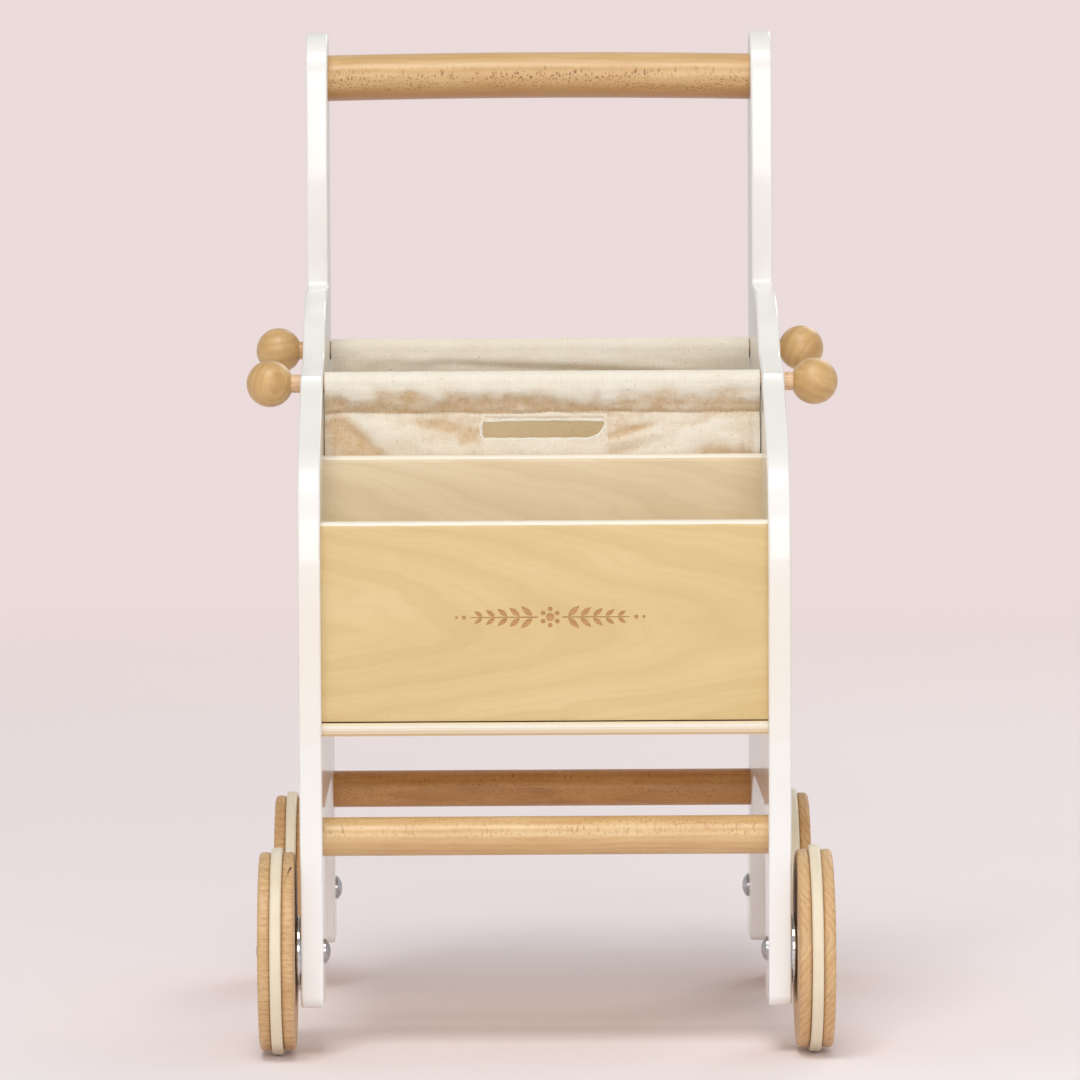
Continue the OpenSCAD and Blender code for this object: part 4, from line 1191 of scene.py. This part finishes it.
    # painted warm bounce light on the inner faces, strongest on the rear wall below its stitch line
    inside = np.where(S > total / 2, 0.62 * np.clip((STITCH_R + 4 - Z) / 20, 0, 1), 0.15)
    hem_in = (S > total - 24)
    inner_fold_shade = np.where(hem_in, inner_fold_shade + np.clip(0.07 + 0.26 * noise2(U, S, 34, 9, 97, 3), 0, 0.32) * np.clip((ROD_R[1] + 1.0 - Z) / 7, 0, 1), inner_fold_shade)
    # the inner layer of a hem shows its outward side where the strip has turned over the rod, so there it takes the
    # inner face's painted shade
    fold_shade = np.where(hem_in, inner_fold_shade, fold_shade)
    return P, U, S, np.clip(fold_shade, 0, 1), np.clip(inner_fold_shade, 0, 1), inside, total, s_sf, s_sr


def solid_sheet(name, P, U, S, fold_shade, thick, mat, inner_fold_shade=None, outside=None, inside=None):
    """Closes a grid of points into a sheet of real thickness, with its thread coordinates, its painted fold shade and
    its painted warm bounce light. inner_fold_shade is the painted shade of the face that looks into the bag, and inside
    is the painted bounce light on that face; outside says which grid normal points out."""
    n, m = P.shape[:2]
    du = np.gradient(P, axis=1)
    ds = np.gradient(P, axis=0)
    N = np.cross(du, ds)
    N /= np.maximum(np.linalg.norm(N, axis=-1, keepdims=True), 1e-9)
    A = P + N * thick / 2
    B = P - N * thick / 2
    verts = np.concatenate([A.reshape(-1, 3), B.reshape(-1, 3)]) / 1000
    idx = np.arange(n * m).reshape(n, m)
    a, b, c, d = idx[:-1, :-1], idx[:-1, 1:], idx[1:, 1:], idx[1:, :-1]
    quads = np.stack([a, b, c, d], -1).reshape(-1, 4)
    back = quads[:, ::-1] + n * m
    rim = []
    for line in (idx[0], idx[-1][::-1], idx[:, 0][::-1], idx[:, -1]):
        for i, j in zip(line, line[1:]):
            rim.append((i, i + n * m, j + n * m, j))
    faces = [tuple(q) for q in quads] + [tuple(q) for q in back] + rim
    ob = new_object(name, verts, faces, mat)
    me = ob.data
    uvs = np.concatenate([np.stack([U, S], -1).reshape(-1, 2)] * 2) / 1000
    layer = me.uv_layers.new(name="cloth")
    li = np.zeros(len(me.loops), int)
    me.loops.foreach_get("vertex_index", li)
    layer.data.foreach_set("uv", uvs[li].astype(np.float32).ravel())
    at = me.attributes.new("inside", "FLOAT", "POINT")
    n_grid = fold_shade.size
    if inside is None:
        at.data.foreach_set("value", np.zeros(2 * n_grid, np.float32))
    else:
        i, j, want = outside
        halves = [np.zeros(n_grid), inside.ravel()] if N[i, j] @ np.array(want) > 0 else [inside.ravel(), np.zeros(n_grid)]
        at.data.foreach_set("value", np.concatenate(halves).astype(np.float32))
    at = me.attributes.new("fold_shade", "FLOAT", "POINT")
    if inner_fold_shade is None:
        both = [fold_shade.ravel(), fold_shade.ravel()]
    else:
        i, j, want = outside
        both = [fold_shade.ravel(), inner_fold_shade.ravel()] if N[i, j] @ np.array(want) > 0 else [inner_fold_shade.ravel(), fold_shade.ravel()]
    at.data.foreach_set("value", np.concatenate(both).astype(np.float32))
    outward(ob)
    return ob


M_CANVAS = canvas("canvas")
P, U, S, fold_shade, inner_fold_shade, inside, total, s_sf, s_sr = make_strip()
mid_row = int(np.argmin(np.abs(S[:, 0] - (s_sf + 60))))
strip = solid_sheet("bag_cloth", P, U, S, fold_shade, CLOTH, M_CANVAS, inner_fold_shade, (mid_row, 80, (0, -1, 0)), inside)


def stadium(cx, cz, w, h, n=14, grow=0.0):
    w, h = w + 2 * grow, h + 2 * grow
    pts = []
    for i in range(n + 1):
        a = -math.pi / 2 + math.pi * i / n
        pts.append((cx + (w - h) / 2 + h / 2 * math.cos(a), cz + h / 2 * math.sin(a)))
    for i in range(n + 1):
        a = math.pi / 2 + math.pi * i / n
        pts.append((cx - (w - h) / 2 + h / 2 * math.cos(a), cz + h / 2 * math.sin(a)))
    return pts


def slot_outline(grow=0.0, n=7):
    """The hand slot: square-ish at its left end, drawn to a point at its upper right."""
    x0, x1, z0, z1 = -33.0 - grow, 34.2 + grow, 322.9 - grow, 332.7 + grow
    pts = arc((x0 + 2.6, z0 + 2.6), 2.6, 180, 270, n)
    pts += bez((x1 - 11, z0), (x1 - 5.5, z0 + 0.2), (x1 - 2.2, z0 + 3.0), (x1 - 0.6, z1 - 3.4), 12)
    pts += arc((x1 - 1.6, z1 - 1.8), 1.5, -10, 95, n)
    pts += bez((x1 - 6, z1 - 0.1), (x1 - 24, z1 + 0.35), (x0 + 22, z1 + 0.3), (x0 + 6, z1 - 0.3), 14)
    pts += arc((x0 + 2.4, z1 - 2.8), 2.4, 100, 180, n)
    return pts


def cut_slot(ob, y_lo, y_hi, w=66.0, h=9.6, cz=327.8):
    pts = slot_outline()
    n = len(pts)
    verts = [(x / 1000, (yy - Y0) / 1000, z / 1000) for yy in (y_lo, y_hi) for x, z in pts]
    faces = [tuple(range(n)), tuple(reversed(range(n, 2 * n)))] + [((i + 1) % n, i, n + i, n + (i + 1) % n) for i in range(n)]
    cut = new_object("slot_cutter", verts, faces, M_CANVAS, smooth=False)
    outward(cut)
    b = ob.modifiers.new("slot", "BOOLEAN")
    b.operation = "DIFFERENCE"
    b.solver = "EXACT"
    b.object = cut
    dg = bpy.context.evaluated_depsgraph_get()
    me = bpy.data.meshes.new_from_object(ob.evaluated_get(dg))
    ob.modifiers.clear()
    old = ob.data
    ob.data = me
    bpy.data.meshes.remove(old)
    bpy.data.objects.remove(cut)
    me.polygons.foreach_set("use_smooth", [True] * len(me.polygons))
    sharp_edges(me, 50)


cut_slot(strip, 92.0, 106.0)


def surface_at(P, U, S, x, z, lo, hi):
    """Point and outward normal of the strip's surface at a place in its front or rear wall."""
    rows = np.where((S[:, 0] > lo) & (S[:, 0] < hi))[0]
    sub = P[rows]
    d = (sub[..., 0] - x) ** 2 + (sub[..., 2] - z) ** 2
    i, j = np.unravel_index(np.argmin(d), d.shape)
    i = min(max(i, 1), len(rows) - 2)
    j = min(max(j, 1), P.shape[1] - 2)
    p = sub[i, j].copy()
    du, ds = sub[i, j + 1] - sub[i, j - 1], sub[i + 1, j] - sub[i - 1, j]
    n = np.cross(du, ds)
    n /= np.linalg.norm(n)
    # exact place by moving in the tangent plane
    A = np.stack([du, ds], 1)[[0, 2]]
    try:
        k = np.linalg.solve(A, np.array([x - p[0], z - p[2]]))
        p = p + du * k[0] + ds * k[1]
    except np.linalg.LinAlgError:
        pass
    return p, n


def facing(mat):
    """The patch sewn round the slot, on the outer face of the front wall."""
    cols, rows = 70, 36
    P2, U2, S2 = np.zeros((rows, cols, 3)), np.zeros((rows, cols)), np.zeros((rows, cols))
    for i in range(rows):
        z = 309.0 + (336.0 - 309.0) * i / (rows - 1)
        xl = -33.2 - 1.6 * max(0.0, (322 - z) / 13)
        xr = 35.0 + 0.2 * math.sin(z)
        for j in range(cols):
            x = xl + (xr - xl) * j / (cols - 1)
            p, n = surface_at(P, U, S, x, z, s_sf - 3, s_sf + 60)
            if n[1] > 0:
                n = -n
            lift = CLOTH / 2 + 0.30 + 0.25 * (0.5 + 0.5 * math.sin(x * 0.21 + z * 0.35)) * math.sin(math.pi * j / (cols - 1))
            P2[i, j] = p + n * lift
            U2[i, j], S2[i, j] = x, z + 400
    ob = solid_sheet("bag_slot_patch", P2, U2, S2, np.full((rows, cols), 0.16), 0.5, mat)
    cut_slot(ob, 90.0, 106.0)
    return ob


patch = facing(M_CANVAS)


def tube(verts, faces, pts, r, n=8, closed=False):
    """Adds a tube along points (mm, row frame)."""
    pts = [Vector(p) for p in pts]
    m = len(pts)
    i0 = len(verts)
    for k in range(m):
        a = pts[(k - 1) % m] if (closed or k > 0) else pts[k]
        b = pts[(k + 1) % m] if (closed or k < m - 1) else pts[k]
        t = (b - a).normalized()
        side = t.cross(Vector((0.13, -1, 0.21))).normalized()
        up = side.cross(t)
        rr = r if (closed or 0 < k < m - 1) else r * 0.45
        for i in range(n):
            q = 2 * math.pi * i / n
            v = pts[k] + side * (rr * math.cos(q)) + up * (rr * math.sin(q))
            verts.append(tuple(c / 1000 for c in v))
    for k in range(m if closed else m - 1):
        k2 = (k + 1) % m
        for i in range(n):
            j = (i + 1) % n
            faces.append((i0 + k * n + i, i0 + k * n + j, i0 + k2 * n + j, i0 + k2 * n + i))
    if not closed:
        faces.append(tuple(i0 + i for i in reversed(range(n))))
        faces.append(tuple(i0 + (m - 1) * n + i for i in range(n)))


def stitches(name, lines, mat, r=0.19, step=2.9, gap=0.8):
    """Each line is a list of (point, normal); stitches lie on it like grains of rice."""
    verts, faces = [], []
    for line in lines:
        pts = [Vector(p) for p, _ in line]
        nrm = [Vector(n) for _, n in line]
        seg = [0.0]
        for a, b in zip(pts, pts[1:]):
            seg.append(seg[-1] + (b - a).length)

        def at(s):
            k = min(max(np.searchsorted(seg, s) - 1, 0), len(pts) - 2)
            f = (s - seg[k]) / max(seg[k + 1] - seg[k], 1e-9)
            return pts[k].lerp(pts[k + 1], f), nrm[k].lerp(nrm[k + 1], f).normalized()

        s = 0.4
        while s + step - gap < seg[-1]:
            ln = step - gap
            row = []
            for f, h in ((0, -0.12), (0.15, 0.10), (0.5, 0.20), (0.85, 0.10), (1, -0.12)):
                p, n = at(s + ln * f)
                row.append(p + n * h)
            tube(verts, faces, row, r, 6)
            s += step
    ob = new_object(name, verts, faces, mat)
    outward(ob)
    return ob


M_THREAD = thread("thread")
row_f = int(np.argmin(np.abs(S[:, 0] - s_sf)))
row_r = int(np.argmin(np.abs(S[:, 0] - s_sr)))


def strip_normals():
    du, ds = np.gradient(P, axis=1), np.gradient(P, axis=0)
    N = np.cross(du, ds)
    return N / np.maximum(np.linalg.norm(N, axis=-1, keepdims=True), 1e-9)


NRM = strip_normals()
if NRM[row_f, 80, 1] > 0:
    NRM = -NRM
lines = []
for row in (row_f, row_r):
    lines.append([(P[row, j] + NRM[row, j] * (CLOTH / 2), NRM[row, j]) for j in range(2, P.shape[1] - 2)])
# the same hem stitches seen on the bag's inside
for row, s_in in ((2, 1), (P.shape[0] - 3, -1)):
    lines.append([(P[row, j] + NRM[row, j] * (CLOTH / 2), NRM[row, j]) for j in range(2, P.shape[1] - 2)])
# round the patch
edge_pts = []
for x0, z0, x1, z1 in ((-31.6, 336 - 1.2, 33.6, 336 - 1.2), (33.6, 334.8, 33.6, 311), (33.6, 311, -32.6, 311), (-33.2, 311, -31.6, 334.8)):
    k = max(2, int(math.hypot(x1 - x0, z1 - z0) / 1.5))
    run = []
    for i in range(k + 1):
        x, z = x0 + (x1 - x0) * i / k, z0 + (z1 - z0) * i / k
        p, n = surface_at(P, U, S, x, z, s_sf - 3, s_sf + 60)
        if n[1] > 0:
            n = -n
        run.append((p + n * (CLOTH / 2 + 0.72), n))
    lines.append(run)
# side seams of both walls, 5 mm in from the edge
for sx in (-1, 1):
    j = int(np.argmin(np.abs(U[0] - sx * (BAG_X - 4.6))))
    for lo, hi in ((s_sf + 2, total / 2 - 92), (total / 2 + 92, s_sr - 2)):
        rows = np.where((S[:, 0] > lo) & (S[:, 0] < hi))[0]
        lines.append([(P[i, j] + NRM[i, j] * (CLOTH / 2), NRM[i, j]) for i in rows])
seams = stitches("bag_stitching", lines, M_THREAD)

# the slot's turned edge, and the zigzag over the patch's top edge
verts, faces = [], []
ring_pts = []
for x, z in slot_outline(grow=0.15):
    ring_pts.append((x, z))
dense = []
for (x0, z0), (x1, z1) in zip(ring_pts, ring_pts[1:] + ring_pts[:1]):
    k = max(1, int(math.hypot(x1 - x0, z1 - z0) / 1.6))
    for i in range(k):
        x, z = x0 + (x1 - x0) * i / k, z0 + (z1 - z0) * i / k
        dense.append((x, z))
roll = []
for i, (x, z) in enumerate(dense):
    p, n = surface_at(P, U, S, x, z, s_sf - 3, s_sf + 60)
    if n[1] > 0:
        n = -n
    wob = 0.10 * math.sin(i * 1.7) + 0.06 * math.sin(i * 0.63)
    roll.append(tuple(p + n * (0.35 + wob) + np.array([0, 0, 0.12 * math.sin(i * 0.9)])))
tube(verts, faces, roll, 0.85, 10, closed=True)
lip = new_object("bag_slot_edge", verts, faces, M_CANVAS)
outward(lip)
layer = lip.data.uv_layers.new(name="cloth")
for poly in lip.data.polygons:
    for li in poly.loop_indices:
        co = lip.data.vertices[lip.data.loops[li].vertex_index].co
        layer.data[li].uv = (co.x, co.z + co.y)
lip.data.attributes.new("fold_shade", "FLOAT", "POINT")

verts, faces = [], []
rgz = np.random.default_rng(9)
x = -27.0
k = 0
zig = []
while x < 33.5:
    z = 334.4 + (1.25 if k % 2 else -0.7) + rgz.uniform(-0.25, 0.25)
    p, n = surface_at(P, U, S, x, z, s_sf - 3, s_sf + 60)
    if n[1] > 0:
        n = -n
    zig.append(Vector(p + n * (CLOTH / 2 + 0.85)))
    x += rgz.uniform(0.55, 0.95)
    k += 1
for a, b in zip(zig, zig[1:]):
    tube(verts, faces, [a, a.lerp(b, 0.5) + Vector((0, -0.15, 0)), b], 0.24, 6)
zigzag = new_object("bag_zigzag", verts, faces, M_THREAD)
outward(zigzag)


def gusset(side):
    """One end of the bag: a sheet sewn to both walls with a narrow flange, slack along its top edge."""
    yf, yb = 98.6, 269.6
    xg = 111.6
    pts = [(115.6, yf + 0.55), (113.6, yf + 0.5)]
    pts += [(xg + 1.2 * math.cos(a) + 0.0, yf + 1.75 - 1.2 * math.sin(a)) for a in np.linspace(math.pi / 3, math.pi, 6)]
    ys = np.linspace(yf + 3.5, yb - 3.5, 74)
    pts += [(xg - 1.2, y) for y in ys]
    pts += [(xg + 1.2 * math.cos(a), yb - 1.75 + 1.2 * math.sin(a)) for a in np.linspace(math.pi, math.pi / 3, 6)]
    pts += [(113.6, yb - 0.5), (115.6, yb - 0.55)]
    c = np.array(pts)
    s = np.concatenate([[0], np.cumsum(np.linalg.norm(np.diff(c, axis=0), axis=1))])
    rows = 70
    z0 = 179.9
    Pg = np.zeros((rows, len(c), 3))
    Ug, Sg = np.zeros((rows, len(c))), np.zeros((rows, len(c)))
    t = np.clip((c[:, 1] - yf) / (yb - yf), 0, 1)
    wall_f = np.interp(np.linspace(0, 1, rows), [0, 1], [0, 1])
    seed = 80 + (side > 0)
    for i in range(rows):
        f = i / (rows - 1)
        top = 334.6 + (346.0 - 334.6) * t - 7.5 * np.sin(np.pi * t) ** 1.3
        z = z0 + (top - z0) * f
        bow = 7.5 * np.sin(np.pi * t) ** 1.1 * f ** 1.6
        bow = bow + (np.sin(np.pi * t) ** 0.6) * (noise2(c[:, 1], z, 46, 90, seed, 3) * 2.6 * f + noise2(c[:, 1] + 0.5 * z, z, 17, 60, seed + 3, 2) * 0.9)
        hemline = 0.9 * np.exp(-((f - 0.955) / 0.02) ** 2)
        x = c[:, 0] - bow - hemline * np.sin(np.pi * t) ** 0.3
        # the flanges follow the walls, which lean in towards the stitch line
        lean = np.interp(z, [300, 337.2], [0.0, 3.6])
        yy = c[:, 1] + lean * (1 - t) ** 6 - np.interp(z, [310, 348.2], [0.0, 3.4]) * t ** 6
        Pg[i, :, 0] = side * x
        Pg[i, :, 1] = yy - Y0
        Pg[i, :, 2] = z
        Ug[i], Sg[i] = s + 300 * side, z
    fold_g = np.clip(0.12 + 0.2 * noise2(Ug, Sg, 30, 50, seed + 9, 2), 0, 1)
    name = "bag_end_left" if side < 0 else "bag_end_right"
    return solid_sheet(name, Pg, Ug, Sg, fold_g, 1.0, M_CANVAS), Pg, s[-1]


gus_l, Pl, glen = gusset(-1)
gus_r, Pr, _ = gusset(1)

for ob, reps in ((strip, ["bag_main"]), (gus_l, ["bag_gusset_left"]), (gus_r, ["bag_gusset_right"]), (patch, ["bag_slot_facing"]), (seams, []), (lip, []), (zigzag, [])):
    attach(ob, "frame")
    if reps:
        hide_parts(*reps)

# ------------------------------------------------------------------ floor, backdrop and light

def floor():
    bm = bmesh.new()
    n, rings = 96, [0.0, 0.15, 0.3, 0.5, 0.8, 1.2, 1.8, 2.6, 3.6]
    c = bm.verts.new((0, 0, 0))
    prev = None
    for r in rings[1:]:
        cur = [bm.verts.new((r * math.cos(2 * math.pi * i / n), r * math.sin(2 * math.pi * i / n), 0)) for i in range(n)]
        for i in range(n):
            j = (i + 1) % n
            if prev is None:
                bm.faces.new((c, cur[i], cur[j]))
            else:
                bm.faces.new((prev[i], cur[i], cur[j], prev[j]))
        prev = cur
    me = bpy.data.meshes.new("floor")
    bm.to_mesh(me)
    bm.free()
    ob = bpy.data.objects.new("floor", me)
    scene.collection.objects.link(ob)
    g = G("floor_paper")
    p = g.tc.outputs["Object"]
    s = g.sep(p)
    rad = g.m("SQRT", g.add(g.mul(s[0], s[0]), g.mul(s[1], s[1])))
    n1 = g.noise(p, 1.3, 2, 0.5)
    base = g.mix(g.mapr(n1, 0.3, 0.7), FLOOR_A, FLOOR_B)
    # the floor is paler towards the front: a painted pool of light
    base = g.mix(g.step(s[1], -0.05, -0.40), base, (0.97, 0.925, 0.965, 1))
    g.set(Base_Color=base, Roughness=0.9)
    g.bsdf.inputs["Specular IOR Level"].default_value = 0.1
    g.set(Alpha=g.m("SUBTRACT", 1.0, g.step(rad, FADE[0], FADE[1])))
    me.materials.append(g.mat)
    ob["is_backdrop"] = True
    return ob


FLOOR_A, FLOOR_B = (0.945, 0.865, 0.885, 1), (0.93, 0.85, 0.87, 1)
FADE = (0.75, 3.2)
floor()

world = bpy.data.worlds.new("studio")
scene.world = world
world.use_nodes = True
wt = world.node_tree
wt.nodes.clear()
wo = wt.nodes.new("ShaderNodeOutputWorld")
bg_cam = wt.nodes.new("ShaderNodeBackground")
bg_cam.inputs[0].default_value = lin(235, 219, 218)
bg_cam.inputs[1].default_value = 1.0
bg_lit = wt.nodes.new("ShaderNodeBackground")
geo = wt.nodes.new("ShaderNodeTexCoord")
sp = wt.nodes.new("ShaderNodeSeparateXYZ")
wt.links.new(geo.outputs["Generated"], sp.inputs[0])
rampn = wt.nodes.new("ShaderNodeValToRGB")
mr = wt.nodes.new("ShaderNodeMapRange")
mr.inputs[1].default_value, mr.inputs[2].default_value = -1.0, 1.0
wt.links.new(sp.outputs[2], mr.inputs[0])
wt.links.new(mr.outputs[0], rampn.inputs[0])
els = rampn.color_ramp.elements
els[0].position, els[0].color = 0.0, (0.80, 0.74, 0.72, 1)
els[1].position, els[1].color = 1.0, (0.60, 0.59, 0.58, 1)
e = els.new(0.47)
e.color = (1.0, 0.955, 0.94, 1)
e = els.new(0.60)
e.color = (1.12, 1.09, 1.06, 1)
e = els.new(0.80)
e.color = (0.85, 0.84, 0.82, 1)
wt.links.new(rampn.outputs[0], bg_lit.inputs[0])
bg_lit.inputs[1].default_value = 0.62
lp = wt.nodes.new("ShaderNodeLightPath")
mx = wt.nodes.new("ShaderNodeMixShader")
wt.links.new(lp.outputs["Is Camera Ray"], mx.inputs[0])
wt.links.new(bg_lit.outputs[0], mx.inputs[1])
wt.links.new(bg_cam.outputs[0], mx.inputs[2])
wt.links.new(mx.outputs[0], wo.inputs[0])


def area(name, at, to, size, power, colour=(1, 1, 1), size_y=None):
    l = bpy.data.lights.new(name, "AREA")
    l.shape = "RECTANGLE"
    l.size = size
    l.size_y = size_y or size
    l.energy = power
    l.color = colour
    ob = bpy.data.objects.new(name, l)
    ob.location = at
    d = Vector(to) - Vector(at)
    ob.rotation_euler = d.to_track_quat("-Z", "Y").to_euler()
    scene.collection.objects.link(ob)
    return ob


area("key", (-0.62, -2.95, 5.1), (0, 0.02, 0.2), 2.2, 124.0, (1.0, 0.99, 0.975))
area("fill_front", (0.3, -3.7, 1.10), (0, 0, 0.10), 1.7, 29.0, (1.0, 0.99, 0.98), 1.3)
area("rim_back", (1.2, 2.4, 2.0), (0, 0, 0.3), 1.2, 14.0, (1.0, 0.98, 0.96))

lo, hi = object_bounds()
